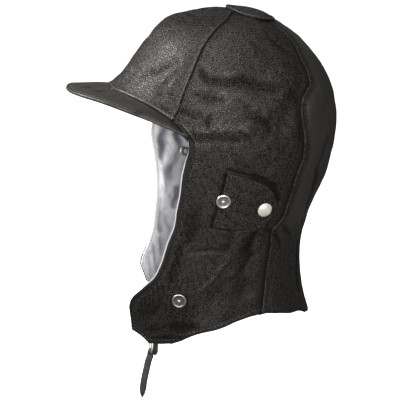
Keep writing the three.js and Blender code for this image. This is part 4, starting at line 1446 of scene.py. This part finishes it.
def make_strap():
    """The strap: sewn inside the right flap, led under the chin, round the ring's bar and down."""
    sewn = np.float64(STRAP["turn"]), np.float64(STRAP["station"] - STRAP["sewn"])
    edge = np.float64(STRAP["turn"]), np.float64(STRAP["station"])
    lie = -WALL - INSIDE_SEAT - STRAP["thickness"] / 2
    flat = frame_at(*edge)[1]
    forward = np.array([0, -1.0, 0])
    right_edge = on_shell(*edge, lie)
    places = [(on_shell(*sewn, lie), flat), (right_edge, flat), (right_edge + STRAP_LEAVES, flat)]
    places += [(np.array([x, y, bar[2] + rise]), forward) for x, y, rise in UNDER_CHIN]
    for x, y, z, turned in THROUGH_RING:
        angle = math.radians(turned)
        places.append((bar + [x, y, z], np.array([math.cos(angle), math.sin(angle), 0])))
    make_band(
        "chin_strap", places, STRAP["width"], STRAP["thickness"], STRAP["steps"],
        lambda left: np.interp(left, STRAP_TIP[:, 0], STRAP_TIP[:, 1]), strap_leather)


make_ring()
make_tab()
make_strap()

# Floor and light

FLOOR = {"half_size": 6.0, "below": 0.12}
# Name, turn and rise in degrees, distance and size in metres, and power in watts
LIGHTS = [
    ("front softbox", -10, 40, 1.5, (0.5, 0.5), 38),
    ("side fill", 76, 15, 2.2, (1.0, 0.8), 46),
    ("top light", 80, 75, 1.8, (0.7, 0.7), 9),
]
WHITE = (1.0, 1.0, 1.0, 1.0)
WARM_WHITE = (1.0, 0.98, 0.955)
WORLD_STRENGTH = 0.16


def make_floor():
    """A pale sheet far below the strap, as bright as the room."""
    size, level = FLOOR["half_size"], cad_box[0].z - FLOOR["below"]
    corners = [(x * size, y * size, level) for x, y in ((-1, -1), (1, -1), (1, 1), (-1, 1))]
    mesh = bpy.data.meshes.new("floor")
    mesh.from_pydata(corners, [], [(0, 1, 2, 3)])
    finish = Finish("pale floor")
    paper = finish.noise(finish.place(), 3, 2)
    finish.set(
        Base_Color=finish.mix(paper, (0.9, 0.9, 0.9, 1), (0.94, 0.94, 0.94, 1)),
        Roughness=0.95,
        Emission_Color=WHITE,
        Emission_Strength=0.95,
    )
    mesh.materials.append(finish.material)
    floor = bpy.data.objects.new("floor", mesh)
    bpy.context.scene.collection.objects.link(floor)
    floor.visible_diffuse = False
    floor.visible_glossy = False


def area_light(name, turn, rise, away, size, power):
    """A soft light that shines on the helmet from a turn and a rise, in degrees."""
    a, e = math.radians(turn), math.radians(rise)
    back = Vector((math.sin(a) * math.cos(e), -math.cos(a) * math.cos(e), math.sin(e)))
    data = bpy.data.lights.new(name, "AREA")
    data.shape = "RECTANGLE"
    data.size, data.size_y = size
    data.energy = power
    data.color = WARM_WHITE
    light = bpy.data.objects.new(name, data)
    bpy.context.scene.collection.objects.link(light)
    light.location = Vector(TARGET * MM) + back * away
    light.rotation_mode = "QUATERNION"
    light.rotation_quaternion = (-back).to_track_quat("-Z", "Y")


def light_room():
    """Even light from all round, and three soft lights."""
    world = bpy.data.worlds.new("room")
    world.use_nodes = True
    bpy.context.scene.world = world
    background = world.node_tree.nodes["Background"]
    background.inputs["Color"].default_value = WHITE
    background.inputs["Strength"].default_value = WORLD_STRENGTH
    bpy.context.scene.view_settings.view_transform = "Standard"
    for row in LIGHTS:
        area_light(*row)


make_floor()
light_room()
